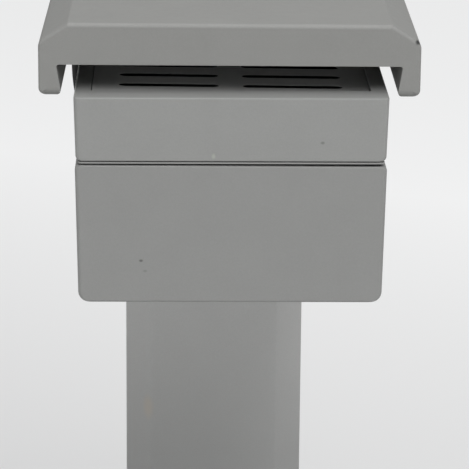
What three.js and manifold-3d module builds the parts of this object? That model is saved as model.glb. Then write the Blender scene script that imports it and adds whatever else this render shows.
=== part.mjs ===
// Overhead projector with a reflective stage.
// Millimetres, +Z up, +X right as seen from the front, +Y away from the viewer.
// The origin is the centre of the base on the surface that the feet stand on.

import * as THREE from "three";
import { mergeVertices } from "three/addons/utils/BufferGeometryUtils.js";
import Module from "manifold-3d";

const wasm = await Module();
wasm.setup();

// Clearances shared by every assembly
const seat = 0.3; // between a piece and what carries it
const runningGap = 0.5; // between pieces that move past each other
const overrun = 2; // how far a cut passes the faces that it opens

// Base
const baseSideMargin = 37.5; // beside the stage opening
const baseFrontMargin = 42.5; // before the stage opening
const baseBackMargin = 17; // behind the column
const baseCornerRadius = 12;
const footHeight = 8;
const footRadius = 13;
const footInset = 34;
const trayHeight = 18;
const trayWall = 2.5;
const trayInset = 1;
const deckTop = 64;
const coverWall = 3;
const coverChamferWidth = 15;
const coverChamferHeight = 12;

// Stage
const stageSize = 285;
const stageRebate = 3;
const glassThickness = 4;
const mirrorThickness = 3;
const panWall = 1.5;
const panMargin = 4;
const stageFrameBorder = 9;
const stageFrameThickness = 2;

// Plinth that the column rises from
const plinthWidth = 150;
const plinthHeight = 22;
const plinthChamfer = 9;

// Column
const columnOffset = -4.5;
const columnWidth = 110;
const columnDepth = 60;
const columnChamferWidth = 16;
const columnChamferDepth = 13;
const stageToColumn = 25.5;
const columnWall = 2;
const columnRise = 12; // above the top of the head
const coreDepth = 46;
const coreWall = 3;
const socketHeight = 96;
const socketPlate = 4;
const socketMargin = 12;
const capThickness = 4;
const capPlug = 6;

// Head
const stageToHead = 330;
const headDepth = 200;
const upperHeight = 34;
const headWidth = 160; // at the seam
const upperFlare = 2;
const seamHeight = 1.8;
const seamInset = 1;
const lowerHeight = 74.2;
const lowerShoulder = 1.2;
const lowerTaper = 2.8;
const headCornerRadius = 4;
const lowerEdgeRadius = 5.4;
const upperEdgeRadius = 1.6;
const shellWall = 2.5;
const roofThickness = 5.5;
const lampSetback = 50; // from the front of the head
const lensSetback = 50; // from its back

// Vent plate in the roof of the head
const ventSideMargin = 9;
const ventDepth = 86;
const ventSetback = 14;
const ventThickness = 2;
const ventRecess = 1;
const ventLedge = 4;
const slotSideMargin = 13.5;
const slotMiddleRib = 12.2;
const slotWidth = 7;
const slotRows = 3;
const slotPitch = 23;
const slotFirstRow = 15;

// Window over the projection lens
const windowSize = 84;
const windowThickness = 3;
const windowRecess = 1;

// Chassis plate inside the head
const chassisThickness = 3;
const chassisDrop = 38; // from the top of the head to the plate
const chassisFlange = 48;

// Projection lens
const barrelRadius = 38;
const barrelWall = 2.5;
const barrelLip = 3.5;
const barrelFlangeRadius = 44;
const barrelFlangeThickness = 2;
const barrelTopDrop = 12;
const lensEdge = 4;
const lensBulge = 5;
const upperLensDrop = 30;
const retainerHeight = 4;

// Lamp and its optics
const lampRadius = 7;
const lampLength = 50;
const lampDrop = 72;
const socketBlock = 20;
const bracketSheet = 2;
const bracketWallGap = 13.1;
const reflectorRadius = 28;
const reflectorWall = 1.5;
const reflectorRim = 11.5;
const reflectorStem = 5;
const condenserRadius = 28;
const condenserBulge = 9;
const condenserRimHeight = 2;
const condenserRingWall = 4;
const condenserLedge = 3.3;
const condenserLift = 8;
const lampWindowRadius = 24.4;
const lampWindowThickness = 2.5;
const lampOpeningRadius = 21;

// Cooling fan
const fanSize = 62;
const fanThickness = 20;
const fanBore = 28.5;
const fanHubRadius = 12;
const fanSpiderThickness = 3;
const fanArmWidth = 4;
const fanShaftRadius = 2.5;
const fanShaftLength = 12;
const bladeCount = 7;
const bladeThickness = 1.6;
const bladeChord = 15;
const bladePitch = 38;
const bladeTipGap = 1.6;
const impellerDepth = 14;
const fanWallGap = 1.7;

// Small electrical pieces on the chassis
const cutoutRadius = 9;
const cutoutHeight = 8;
const cutoutX = 50;
const terminalLength = 46;
const terminalWidth = 16;
const terminalHeight = 13;
const terminalWays = 5;
const terminalTowerShare = 0.62;

// Carriage that carries the head on the column
const cheekReach = 6.5; // beyond the side of the column
const neckTopDrop = 20;
const neckHeight = 78;
const neckFrontDepth = 20;
const cheekWall = 3.6;
const neckBossWidth = 70;
const neckBossHeight = 44;
const neckBossDrop = 48;
const backPlateThickness = 3;
const shoeHeight = 62;
const shoeDepth = 38;
const shoeGap = 0.3;
const backPlateGap = 1.2;

// Focus rack and pinion
const gearModule = 1;
const pinionTeeth = 18;
const pinionWidth = 12;
const rackWidth = 14;
const rackBody = 5;
const rackLength = 78;
const toothHeightShare = 0.95;
const toothRootShare = 1.15;
const toothPitchShare = 0.2;
const toothTipShare = 0.09;
const toothFootShare = 0.29;
const shaftRadius = 4;
const shaftDrop = 38;
const knobRadius = 28;
const knobLength = 24.6;
const knobCrown = 7;
const knobBoreDepth = 20;
const knobGrooves = 20;
const knobGrooveRadius = 1.5;

// Lid
const lidSideOverhang = 16.5;
const lidFrontOverhang = 6;
const lidRearOverhang = 0;
const lidTop = 39;
const lidLipBottom = 17.6;
const lidSkirtBottom = 1.4;
const lidChamferWidth = 15.1;
const lidChamferHeight = 9.5;
const lidSkirtFoot = 11.2;
const lidSkirtRoot = 9.4;
const lidSheet = 3;
const lidFootRadius = 3;
const hingeSetback = 14; // from the back of the head
const hingeRise = 21; // above the top of the head
const hingePinRadius = 3;
const hingeHeadRadius = 5;
const hingeHeadLength = 3;
const hingePinBite = 6;
const hingeSheet = 2.5;
const hingeFootWidth = 17;
const hingeFootDepth = 20;
const hingeLugRadius = 7;
const hingeInset = 1.5;
const washerRadius = 6.5;
const lidMirrorMargin = 25.5;
const lidMirrorThickness = 3;
const lidMirrorFront = 20;
const mirrorFrameWall = 3;
const mirrorFrameLip = 4;
const mirrorFrameDepth = 2;

// Pieces in the base
const transformerWidth = 78;
const transformerDepth = 62;
const transformerHeight = 44;
const transformerCoilShare = 0.62;
const transformerSideMargin = 62;
const transformerBackMargin = 47;
const transformerPlate = 2;
const transformerLug = 8;
const inletWidth = 28;
const inletHeight = 20;
const inletDepth = 24;
const inletFlange = 5;
const inletFlangeThickness = 3;
const inletWall = 2;
const inletPinWidth = 4;
const inletPinThickness = 2;
const inletPinPitch = 7;
const inletPinLength = 14;
const inletZ = 42;
const rearPanelMargin = 8;
const rearPanelHeight = 26;
const fuseRadius = 8;
const fuseLength = 26;
const fuseSlotWidth = 2;
const fuseSlotDepth = 1.5;
const fuseColumnGap = 24.5;
const fuseSpacing = 36; // from the inlet
const switchSideMargin = 34;
const switchFrontMargin = 16;
const switchLength = 28;
const switchWidth = 18;
const switchDepth = 20;
const switchRim = 2;
const switchWall = 1.6;
const rockerTilt = 8;
const rockerSwing = 1.5; // room that each end needs as it turns
const rockerFootShare = 0.8;
const rockerHeight = 12;
const rockerPinRadius = 1.8;

// Widths, levels and places that follow from the sizes above
const baseWidth = stageSize + 2 * baseSideMargin;
const baseDepth = baseFrontMargin + stageSize + stageToColumn + columnDepth + baseBackMargin;
const stageCentreY = baseFrontMargin + (stageSize - baseDepth) / 2;
const columnFront = stageCentreY + stageSize / 2 + stageToColumn;
const upperTopWidth = headWidth + upperFlare;
const lowerTopWidth = headWidth + lowerShoulder;
const lowerBottomWidth = lowerTopWidth - lowerTaper;
const ventWidth = upperTopWidth - 2 * ventSideMargin;
const slotLength = (ventWidth - slotMiddleRib) / 2 - slotSideMargin;
const slotCentre = (slotMiddleRib + slotLength) / 2;
const lidWidth = upperTopWidth + 2 * lidSideOverhang;
const lidMirrorSize = lidWidth - 2 * lidMirrorMargin;
const neckWidth = columnWidth + 2 * cheekReach;
const fanCentreX = shellWall + fanWallGap + (fanThickness - lowerBottomWidth) / 2;
const socketEnd = lampLength / 2 + seat + socketBlock;
const bracketFoot = lowerBottomWidth / 2 - shellWall - bracketWallGap - socketEnd - seat;
const transformerX = baseWidth / 2 - transformerSideMargin;
const transformerY = baseDepth / 2 - transformerBackMargin;
const fuseX = columnOffset - columnWidth / 2 - fuseColumnGap;
const inletX = fuseX - fuseSpacing;
const rearPanelLeft = inletX - inletWidth / 2 - rearPanelMargin;
const rearPanelRight = fuseX + fuseRadius + rearPanelMargin;
const switchX = baseWidth / 2 - switchSideMargin;
const switchY = switchFrontMargin - baseDepth / 2;
const trayTop = footHeight + trayHeight;
const trayFloor = footHeight + trayWall;
const deckUnderside = deckTop - coverWall;
const plinthTop = deckTop + plinthHeight;
const headBottom = deckTop + stageToHead;
const headTop = headBottom + lowerHeight + seamHeight + upperHeight;
const lowerTop = headBottom + lowerHeight;
const upperBottom = lowerTop + seamHeight;
const headFront = stageCentreY - headDepth / 2;
const headBack = headFront + headDepth;
const lampY = headFront + lampSetback;
const lensY = headBack - lensSetback;
const lampZ = headTop - lampDrop;
const chassisTop = headTop - chassisDrop;
const chassisBottom = chassisTop - chassisThickness;
const columnBack = columnFront + columnDepth;
const columnTop = headTop + columnRise;
const columnBottom = trayFloor + seat + socketPlate + seat;
const coreWidth = columnWidth - 2 * (columnWall + columnChamferWidth + seat);
const neckTop = headTop - neckTopDrop;
const neckBottom = neckTop - neckHeight;
const neckFront = headBack + seat;
const chassisFlangeBack = headBack - shellWall - seat;
const pitchRadius = (gearModule * pinionTeeth) / 2;
const toothPitch = Math.PI * gearModule;
const rackFace = columnFront - seat - rackBody;
const rackPitchLine = rackFace - gearModule * toothRootShare;
const shaftY = rackPitchLine - pitchRadius;
const shaftZ = headTop - shaftDrop;
const ventFront = headFront + ventSetback;
const hingeY = headBack - hingeSetback;
const hingeZ = headTop + hingeRise;
const hingeLugOuter = upperTopWidth / 2 - hingeInset;

// Segment counts of round pieces
const fineSides = 32;
const roundSides = 24;
const smallSides = 14;
const cornerSteps = 3;
const edgeSteps = 3;

const projector = new THREE.Group();
projector.name = "overhead_projector";

// Helpers: outlines
function roundedRectangle(width, depth, radius) {
  const x = width / 2;
  const y = depth / 2;
  const shape = new THREE.Shape();
  shape.absarc(x - radius, y - radius, radius, 0, Math.PI / 2);
  shape.absarc(radius - x, y - radius, radius, Math.PI / 2, Math.PI);
  shape.absarc(radius - x, radius - y, radius, Math.PI, 1.5 * Math.PI);
  shape.absarc(x - radius, radius - y, radius, 1.5 * Math.PI, 2 * Math.PI);
  return shape;
}

function outline(points) {
  return new THREE.Shape(points.map(([x, y]) => new THREE.Vector2(x, y)));
}

// Helpers: solids, each a closed manifold
function solid(geometry) {
  const bare = geometry.clone();
  bare.deleteAttribute("normal");
  bare.deleteAttribute("uv");
  const merged = mergeVertices(bare);
  const triVerts = new Uint32Array(merged.index.array);
  const vertProperties = new Float32Array(merged.attributes.position.array);
  const body = new wasm.Manifold(new wasm.Mesh({ numProp: 3, vertProperties, triVerts }));
  if (body.volume() > 0) return body;
  for (let i = 0; i < triVerts.length; i += 3) triVerts.subarray(i, i + 2).reverse();
  return new wasm.Manifold(new wasm.Mesh({ numProp: 3, vertProperties, triVerts }));
}

function extrude(shape, depth, steps = cornerSteps) {
  return new THREE.ExtrudeGeometry(shape, { depth, bevelEnabled: false, curveSegments: steps });
}

function upright(shape, bottom, top, steps) {
  return solid(extrude(shape, top - bottom, steps).translate(0, 0, bottom));
}

// An outline in X and Z, run from front to back
function alongY(shape, front, back, steps) {
  return solid(extrude(shape, back - front, steps).rotateX(Math.PI / 2).translate(0, back, 0));
}

// An outline in Y and Z, run from left to right
function alongX(shape, left, right, steps) {
  const turn = new THREE.Matrix4().makeBasis(
    new THREE.Vector3(0, 1, 0),
    new THREE.Vector3(0, 0, 1),
    new THREE.Vector3(1, 0, 0),
  );
  return solid(extrude(shape, right - left, steps).applyMatrix4(turn).translate(left, 0, 0));
}

function block([left, right], [front, back], [bottom, top]) {
  const geometry = new THREE.BoxGeometry(right - left, back - front, top - bottom);
  return solid(geometry.translate((left + right) / 2, (front + back) / 2, (bottom + top) / 2));
}

function spread(centre, width) {
  return [centre - width / 2, centre + width / 2];
}

function rodZ(radius, [x, y], [bottom, top], sides = roundSides) {
  const geometry = new THREE.CylinderGeometry(radius, radius, top - bottom, sides);
  return solid(geometry.rotateX(Math.PI / 2).translate(x, y, (bottom + top) / 2));
}

function rodX(radius, [left, right], [y, z], sides = roundSides) {
  const geometry = new THREE.CylinderGeometry(radius, radius, right - left, sides);
  return solid(geometry.rotateZ(Math.PI / 2).translate((left + right) / 2, y, z));
}

function rodY(radius, [front, back], [x, z], sides = roundSides) {
  const geometry = new THREE.CylinderGeometry(radius, radius, back - front, sides);
  return solid(geometry.translate(x, (front + back) / 2, z));
}

// A profile of [radius, height] pairs turned about a vertical axis
function turned(profile, [x, y], sides = fineSides) {
  const points = profile.map(([radius, height]) => new THREE.Vector2(radius, height));
  return solid(new THREE.LatheGeometry([...points, points[0]], sides).rotateX(Math.PI / 2).translate(x, y, 0));
}

// A box with drafted sides: narrower or wider at its top than at its bottom, with rounded corners
function drafted(bottomWidth, topWidth, depth, bottom, top, radius, edge = 0) {
  const draft = (bottomWidth - topWidth) / 2;
  const height = top - bottom;
  const geometry = new THREE.ExtrudeGeometry(roundedRectangle(topWidth - 2 * edge, depth - 2 * edge, radius), {
    depth: height - 2 * edge,
    bevelEnabled: edge > 0,
    bevelThickness: edge,
    bevelSize: edge,
    bevelSegments: edgeSteps,
    curveSegments: cornerSteps,
  });
  geometry.translate(0, 0, edge);
  const place = geometry.attributes.position;
  for (let i = 0; i < place.count; i += 1) {
    const lean = draft * (1 - place.getZ(i) / height);
    place.setX(i, place.getX(i) * (1 + (2 * lean) / topWidth));
  }
  return solid(geometry.translate(0, (headFront + headBack) / 2, bottom));
}

function finish(color, roughness, metalness) {
  return new THREE.MeshStandardMaterial({ color, roughness, metalness });
}

function piece(name, body, material) {
  const mesh = body.getMesh();
  const geometry = new THREE.BufferGeometry();
  geometry.setAttribute("position", new THREE.BufferAttribute(mesh.vertProperties, 3));
  geometry.setIndex(new THREE.BufferAttribute(mesh.triVerts, 1));
  geometry.computeVertexNormals();
  const part = new THREE.Mesh(geometry, material);
  part.name = name;
  projector.add(part);
}

// Materials
const paleGrey = () => finish(0x969795, 0.55, 0);
const midGrey = () => finish(0x8c8c8a, 0.55, 0);
const darkPlastic = () => finish(0x1d1d1e, 0.45, 0);
const blackRubber = () => finish(0x151515, 0.9, 0);
const steel = () => finish(0x9ea1a4, 0.35, 1);
const galvanised = () => finish(0xa7abad, 0.5, 1);
const brass = () => finish(0xb89a55, 0.35, 1);
const glass = () => finish(0xdfe8ea, 0.05, 0);
const silvered = () => finish(0xe6eaec, 0.04, 1);
const ceramic = () => finish(0xe4ded0, 0.6, 0);
const nylon = () => finish(0xdcd9cf, 0.5, 0);

// Base: tray, cover and feet
function coverProfile(inset) {
  const half = baseWidth / 2 - inset;
  const top = deckTop - inset;
  const foot = inset > 0 ? trayTop - overrun : trayTop + seat;
  return outline([
    [-half, foot],
    [half, foot],
    [half, deckTop - coverChamferHeight],
    [half - coverChamferWidth, top],
    [coverChamferWidth - half, top],
    [-half, deckTop - coverChamferHeight],
  ]);
}

function plinthProfile(inset) {
  const half = plinthWidth / 2 - inset;
  const top = plinthTop - inset;
  const foot = inset > 0 ? deckTop - overrun : deckTop + seat;
  return outline([
    [columnOffset - half, foot],
    [columnOffset + half, foot],
    [columnOffset + half, plinthTop - plinthChamfer],
    [columnOffset + half - plinthChamfer, top],
    [columnOffset - half + plinthChamfer, top],
    [columnOffset - half, plinthTop - plinthChamfer],
  ]);
}

const plinthFront = columnFront - socketMargin;
const plinthBack = baseDepth / 2 - baseCornerRadius / 2;
const stageOpening = stageSize + 2 * stageRebate;
const stageSpanX = spread(0, stageOpening);
const stageSpanY = spread(stageCentreY, stageOpening);

function columnOutline(inset, openBack) {
  const half = columnWidth / 2 - inset;
  const back = columnBack - inset + (openBack ? inset + overrun : 0);
  const front = columnFront + inset;
  const chamferX = columnChamferWidth;
  const chamferY = columnChamferDepth;
  return outline([
    [columnOffset - half, back],
    [columnOffset - half, front + chamferY],
    [columnOffset - half + chamferX, front],
    [columnOffset + half - chamferX, front],
    [columnOffset + half, front + chamferY],
    [columnOffset + half, back],
  ]);
}

function makeBaseShells() {
  const footprint = roundedRectangle(baseWidth, baseDepth, baseCornerRadius);
  const trayPlan = roundedRectangle(baseWidth - 2 * trayInset, baseDepth - 2 * trayInset, baseCornerRadius);
  const hollowWidth = baseWidth - 2 * (trayInset + trayWall);
  const hollowDepth = baseDepth - 2 * (trayInset + trayWall);
  const tray = upright(trayPlan, footHeight, trayTop)
    .subtract(upright(roundedRectangle(hollowWidth, hollowDepth, baseCornerRadius), trayFloor, trayTop + overrun));
  piece("base_tray", tray, midGrey());

  const innerWidth = baseWidth - 2 * coverWall;
  const innerDepth = baseDepth - 2 * coverWall;
  const inside = upright(
    roundedRectangle(innerWidth, innerDepth, baseCornerRadius - coverWall), footHeight, plinthTop,
  ).intersect(alongY(coverProfile(coverWall), -baseDepth / 2, baseDepth / 2));
  const cover = alongY(coverProfile(0), -baseDepth / 2, baseDepth / 2)
    .intersect(upright(footprint, footHeight, plinthTop))
    .subtract(inside)
    .subtract(block(stageSpanX, stageSpanY, [footHeight, deckTop + overrun]))
    .subtract(upright(columnOutline(-runningGap, false), deckUnderside - overrun, deckTop + overrun))
    .subtract(block(
      [rearPanelLeft - seat, rearPanelRight + seat],
      [baseDepth / 2 - coverWall - overrun, baseDepth / 2 + overrun],
      spread(inletZ, rearPanelHeight + 2 * seat),
    ))
    .subtract(block(
      spread(switchX, switchLength + 2 * seat),
      spread(switchY, switchWidth + 2 * seat),
      [deckUnderside - overrun, deckTop + overrun],
    ));
  piece("base_cover", cover, paleGrey());

  const plinth = alongY(plinthProfile(0), plinthFront, plinthBack)
    .subtract(alongY(plinthProfile(coverWall), plinthFront + coverWall, plinthBack - coverWall))
    .subtract(upright(columnOutline(-runningGap, false), deckTop, plinthTop + overrun));
  piece("column_plinth", plinth, paleGrey());
}

function makeFeet() {
  const profile = [
    [0, 0],
    [footRadius - footHeight / 4, 0],
    [footRadius, footHeight / 4],
    [footRadius, footHeight - seat],
    [0, footHeight - seat],
  ];
  const sides = { left: -1, right: 1 };
  const ends = { front: -1, back: 1 };
  for (const [end, endSign] of Object.entries(ends)) {
    for (const [side, sideSign] of Object.entries(sides)) {
      const place = [sideSign * (baseWidth / 2 - footInset), endSign * (baseDepth / 2 - footInset)];
      piece(`foot_${end}_${side}`, turned(profile, place, roundSides), blackRubber());
    }
  }
}

// Stage: clear glass over a Fresnel mirror in a steel pan, with a trim frame on the deck
function makeStage() {
  const glassSize = stageOpening - 2 * seat;
  const glassBottom = deckTop - glassThickness;
  const mirrorTop = glassBottom - seat;
  const mirrorBottom = mirrorTop - mirrorThickness;
  const panFloorTop = mirrorBottom - seat;
  const glassPlan = [spread(0, glassSize), spread(stageCentreY, glassSize)];
  piece("stage_glass", block(...glassPlan, [glassBottom, deckTop]), glass());
  piece("fresnel_mirror", block(...glassPlan, [mirrorBottom, mirrorTop]), silvered());

  const panOuter = glassSize + 2 * (panMargin + panWall);
  const panInner = glassSize + 2 * panMargin;
  const pan = block(spread(0, panOuter), spread(stageCentreY, panOuter), [panFloorTop - panWall, deckUnderside - seat])
    .subtract(block(spread(0, panInner), spread(stageCentreY, panInner), [panFloorTop, deckTop]));
  piece("stage_pan", pan, galvanised());

  const frameOuter = stageOpening + 2 * stageFrameBorder;
  const frameBottom = deckTop + seat;
  const frameTop = frameBottom + stageFrameThickness;
  const frame = upright(roundedRectangle(frameOuter, frameOuter, stageFrameBorder), frameBottom, frameTop)
    .translate(0, stageCentreY, 0)
    .subtract(block(stageSpanX, stageSpanY, [frameBottom - overrun, frameTop + overrun]));
  piece("stage_frame", frame, darkPlastic());
}

// Electrical pieces in the base
function makeBaseElectrics() {
  const floor = trayFloor + seat;
  const coilWidth = transformerWidth * transformerCoilShare;
  const lugSpan = transformerWidth + 2 * transformerLug;
  const transformer = block(
    spread(transformerX, transformerWidth), spread(transformerY, transformerDepth * transformerCoilShare),
    [floor, floor + transformerHeight],
  ).add(block(
    spread(transformerX, coilWidth), spread(transformerY, transformerDepth),
    [floor, floor + transformerHeight * (1 + transformerCoilShare) / 2],
  )).add(block(
    spread(transformerX, lugSpan), spread(transformerY, transformerDepth * transformerCoilShare),
    [floor, floor + transformerPlate],
  ));
  piece("transformer", transformer, steel());

  const wallInside = baseDepth / 2 - coverWall;
  const inletFace = baseDepth / 2 - seat;
  const inletBack = wallInside - inletDepth;
  const pinTip = inletBack + inletWall + inletPinLength;
  let inlet = block(spread(inletX, inletWidth), [inletBack, inletFace], spread(inletZ, inletHeight))
    .add(block(
      spread(inletX, inletWidth + 2 * inletFlange),
      [wallInside - seat - inletFlangeThickness, wallInside - seat],
      spread(inletZ, inletHeight + inletFlange),
    ))
    .subtract(block(
      spread(inletX, inletWidth - 2 * inletWall),
      [inletBack + inletWall, inletFace + overrun],
      spread(inletZ, inletHeight - 2 * inletWall),
    ));
  for (const [stepX, stepZ] of [[-1, -1], [0, 1], [1, -1]]) {
    inlet = inlet.add(block(
      spread(inletX + stepX * inletPinPitch, inletPinThickness),
      [inletBack, pinTip],
      spread(inletZ + stepZ * inletPinWidth / 2, inletPinWidth),
    ));
  }
  piece("mains_inlet", inlet, darkPlastic());

  const panelCut = [wallInside - overrun, baseDepth / 2 + overrun];
  const panel = block(
    [rearPanelLeft, rearPanelRight], [wallInside, inletFace], spread(inletZ, rearPanelHeight),
  )
    .subtract(block(spread(inletX, inletWidth + 2 * seat), panelCut, spread(inletZ, inletHeight + 2 * seat)))
    .subtract(rodY(fuseRadius + seat, panelCut, [fuseX, inletZ]));
  piece("rear_panel", panel, midGrey());

  const fuseFace = baseDepth / 2 - seat;
  const fuse = rodY(fuseRadius, [fuseFace - fuseLength, fuseFace], [fuseX, inletZ])
    .subtract(block(
      spread(fuseX, fuseRadius), [fuseFace - fuseSlotDepth, fuseFace + overrun], spread(inletZ, fuseSlotWidth),
    ));
  piece("fuse_holder", fuse, darkPlastic());

  const rimTop = deckTop + switchRim + seat;
  const switchBottom = rimTop - switchDepth;
  const hollow = [
    spread(switchX, switchLength - 2 * switchWall),
    spread(switchY, switchWidth - 2 * switchWall),
    [switchBottom + switchWall, rimTop + overrun],
  ];
  const rockerZ = rimTop - rockerHeight / 2 + switchRim / 2;
  const bezel = block(spread(switchX, switchLength), spread(switchY, switchWidth), [switchBottom, rimTop])
    .add(block(
      spread(switchX, switchLength + 2 * switchRim), spread(switchY, switchWidth + 2 * switchRim),
      [deckTop + seat, rimTop],
    ))
    .subtract(block(...hollow))
    .subtract(rodY(
      rockerPinRadius + seat, spread(switchY, switchWidth + overrun), [switchX, rockerZ], smallSides,
    ));
  piece("switch_bezel", bezel, darkPlastic());

  // The rocker is a shallow V seen from the side, turning on two pins at its middle
  const rockerHalf = switchLength / 2 - switchWall - runningGap - rockerSwing;
  const rise = Math.tan(THREE.MathUtils.degToRad(rockerTilt)) * rockerHalf;
  const rocker = outline([
    [switchX - rockerHalf * rockerFootShare, rockerZ - rockerHeight / 2],
    [switchX + rockerHalf * rockerFootShare, rockerZ - rockerHeight / 2],
    [switchX + rockerHalf, rockerZ + rockerHeight / 2],
    [switchX, rockerZ + rockerHeight / 2 - rise],
    [switchX - rockerHalf, rockerZ + rockerHeight / 2],
  ]);
  const [rockerFront, rockerBack] = spread(switchY, switchWidth - 2 * (switchWall + runningGap));
  const pins = rodY(
    rockerPinRadius, spread(switchY, switchWidth - switchWall), [switchX, rockerZ], smallSides,
  );
  piece("power_rocker", alongY(rocker, rockerFront, rockerBack).add(pins), darkPlastic());
}

// Column: folded front shell, back cover, steel core on a socket, and a cap
function makeColumn() {
  const shell = upright(columnOutline(0, false), columnBottom, columnTop)
    .subtract(upright(columnOutline(columnWall, true), columnBottom - overrun, columnTop + overrun));
  piece("column_front_shell", shell, paleGrey());

  const coverWidth = columnWidth - 2 * (columnWall + seat);
  piece("column_back_cover", block(
    spread(columnOffset, coverWidth), [columnBack - columnWall, columnBack], [columnBottom, columnTop],
  ), midGrey());

  const coreFront = columnFront + columnWall + seat;
  const coreTop = columnTop - capPlug - seat;
  const core = block(spread(columnOffset, coreWidth), [coreFront, coreFront + coreDepth], [columnBottom, coreTop])
    .subtract(block(
      spread(columnOffset, coreWidth - 2 * coreWall),
      [coreFront + coreWall, coreFront + coreDepth + overrun],
      [columnBottom - overrun, coreTop + overrun],
    ));
  piece("column_core", core, steel());

  const plateBottom = trayFloor + seat;
  const plateTop = plateBottom + socketPlate;
  const riserWidth = coreWidth - 2 * (coreWall + seat);
  const riserFront = coreFront + coreWall + seat;
  const riserBack = coreFront + coreDepth - coreWall;
  const socket = block(
    spread(columnOffset, columnWidth + 2 * socketMargin),
    [columnFront - socketMargin, columnBack + socketMargin / 2],
    [plateBottom, plateTop],
  ).add(block(spread(columnOffset, riserWidth), [riserFront, riserBack], [plateBottom, plateBottom + socketHeight]))
    .subtract(block(
      spread(columnOffset, riserWidth - 2 * socketPlate),
      [riserFront + socketPlate, riserBack - socketPlate],
      [plateTop, plateTop + socketHeight],
    ));
  piece("column_socket", socket, galvanised());

  const plugWidth = columnWidth - 2 * (columnWall + seat + columnChamferWidth);
  const cap = upright(columnOutline(0, false), columnTop + seat, columnTop + seat + capThickness)
    .add(block(
      spread(columnOffset, plugWidth),
      [columnFront + columnWall + seat, columnBack - columnWall - seat],
      [columnTop - capPlug, columnTop + seat + capThickness / 2],
    ));
  piece("column_cap", cap, darkPlastic());
}

// Carriage: neck casting round the column, its back plate and guide shoes
function makeCarriage() {
  const outer = spread(columnOffset, neckWidth);
  const inner = spread(columnOffset, neckWidth - 2 * cheekWall);
  const cheekBack = columnBack + backPlateGap;
  const heights = [neckBottom, neckTop];
  const bossTop = headTop - neckBossDrop;
  const neck = block(outer, [neckFront, cheekBack], heights)
    .subtract(block(inner, [neckFront + neckFrontDepth, cheekBack + overrun], [neckBottom - overrun, neckTop + overrun]))
    .add(block(
      spread(columnOffset, neckBossWidth), [chassisFlangeBack + seat, neckFront + neckFrontDepth / 2],
      [bossTop - neckBossHeight, bossTop],
    ))
    .subtract(rodX(shaftRadius + seat, [outer[0] - overrun, outer[1] + overrun], [shaftY, shaftZ]));
  piece("neck_casting", neck, midGrey());

  const plateFront = cheekBack + seat;
  piece("carriage_back_plate", block(outer, [plateFront, plateFront + backPlateThickness], heights), midGrey());

  const shoeY = columnBack - columnDepth / 2 + columnChamferDepth / 2;
  for (const [side, sign] of [["left", -1], ["right", 1]]) {
    const near = columnOffset + sign * (columnWidth / 2 + shoeGap);
    const far = columnOffset + sign * (neckWidth / 2 - cheekWall - seat);
    piece(`guide_shoe_${side}`, block(
      [Math.min(near, far), Math.max(near, far)], spread(shoeY, shoeDepth),
      spread((neckTop + neckBottom) / 2, shoeHeight),
    ), nylon());
  }
}

// Focus drive: a rack on the column, and a pinion, shaft and two knobs on the carriage
function toothOutline(rootHalf, pitchHalf, tipHalf, root, tip) {
  return [[-rootHalf, -root], [-pitchHalf, 0], [-tipHalf, tip], [tipHalf, tip], [pitchHalf, 0], [rootHalf, -root]];
}

function makeFocusDrive() {
  const root = gearModule * toothRootShare;
  const tip = gearModule * toothHeightShare;
  const tooth = toothOutline(
    toothPitch * toothFootShare, toothPitch * toothPitchShare, toothPitch * toothTipShare, root, tip,
  );

  // Rack: teeth point forward, and a gap faces the pinion at rest
  const [rackBottom, rackTop] = spread(shaftZ, rackLength);
  const toothCount = Math.floor(rackLength / toothPitch / 2) * 2;
  const rackPoints = [[columnFront - seat, rackBottom], [columnFront - seat, rackTop], [rackFace, rackTop]];
  for (let i = toothCount - 1; i >= 0; i -= 1) {
    const middle = shaftZ + (i - (toothCount - 1) / 2) * toothPitch;
    for (const [across, out] of tooth.slice().reverse()) rackPoints.push([rackPitchLine - out, middle + across]);
  }
  rackPoints.push([rackFace, rackBottom]);
  piece("focus_rack", alongX(outline(rackPoints), ...spread(columnOffset, rackWidth)), steel());

  // Pinion: its first tooth points at the rack
  const pinionPoints = [];
  for (let i = 0; i < pinionTeeth; i += 1) {
    const angle = (2 * Math.PI * i) / pinionTeeth;
    for (const [across, out] of tooth) {
      const radius = pitchRadius + out;
      const turn = angle + across / pitchRadius;
      pinionPoints.push([shaftY + radius * Math.cos(turn), shaftZ + radius * Math.sin(turn)]);
    }
  }
  const pinion = alongX(outline(pinionPoints), ...spread(columnOffset, pinionWidth))
    .subtract(rodX(shaftRadius + seat, spread(columnOffset, pinionWidth + 2 * overrun), [shaftY, shaftZ], smallSides));
  piece("pinion", pinion, brass());

  const knobInner = neckWidth / 2 + 2 * runningGap;
  const shaftHalf = knobInner + knobBoreDepth - seat;
  piece("pinion_shaft", rodX(shaftRadius, spread(columnOffset, 2 * shaftHalf), [shaftY, shaftZ], smallSides), steel());

  const profile = [
    [0, 0],
    [knobRadius - runningGap, 0],
    [knobRadius, 2 * runningGap],
    [knobRadius, knobLength - knobCrown],
    [knobRadius - knobCrown / 3, knobLength - knobCrown / 3],
    [knobRadius - knobCrown, knobLength],
    [0, knobLength],
  ];
  let knob = turned(profile, [0, 0]).subtract(rodZ(shaftRadius + seat, [0, 0], [-overrun, knobBoreDepth], smallSides));
  for (let i = 0; i < knobGrooves; i += 1) {
    const angle = (2 * Math.PI * i) / knobGrooves;
    knob = knob.subtract(rodZ(
      knobGrooveRadius,
      [(knobRadius + knobGrooveRadius / 3) * Math.cos(angle), (knobRadius + knobGrooveRadius / 3) * Math.sin(angle)],
      [knobCrown / 2, knobLength + overrun], 6,
    ));
  }
  for (const [side, sign] of [["left", -1], ["right", 1]]) {
    const placed = knob.rotate([0, 90 * sign, 0]).translate([columnOffset + sign * knobInner, shaftY, shaftZ]);
    piece(`focus_knob_${side}`, placed, darkPlastic());
  }
}

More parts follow.
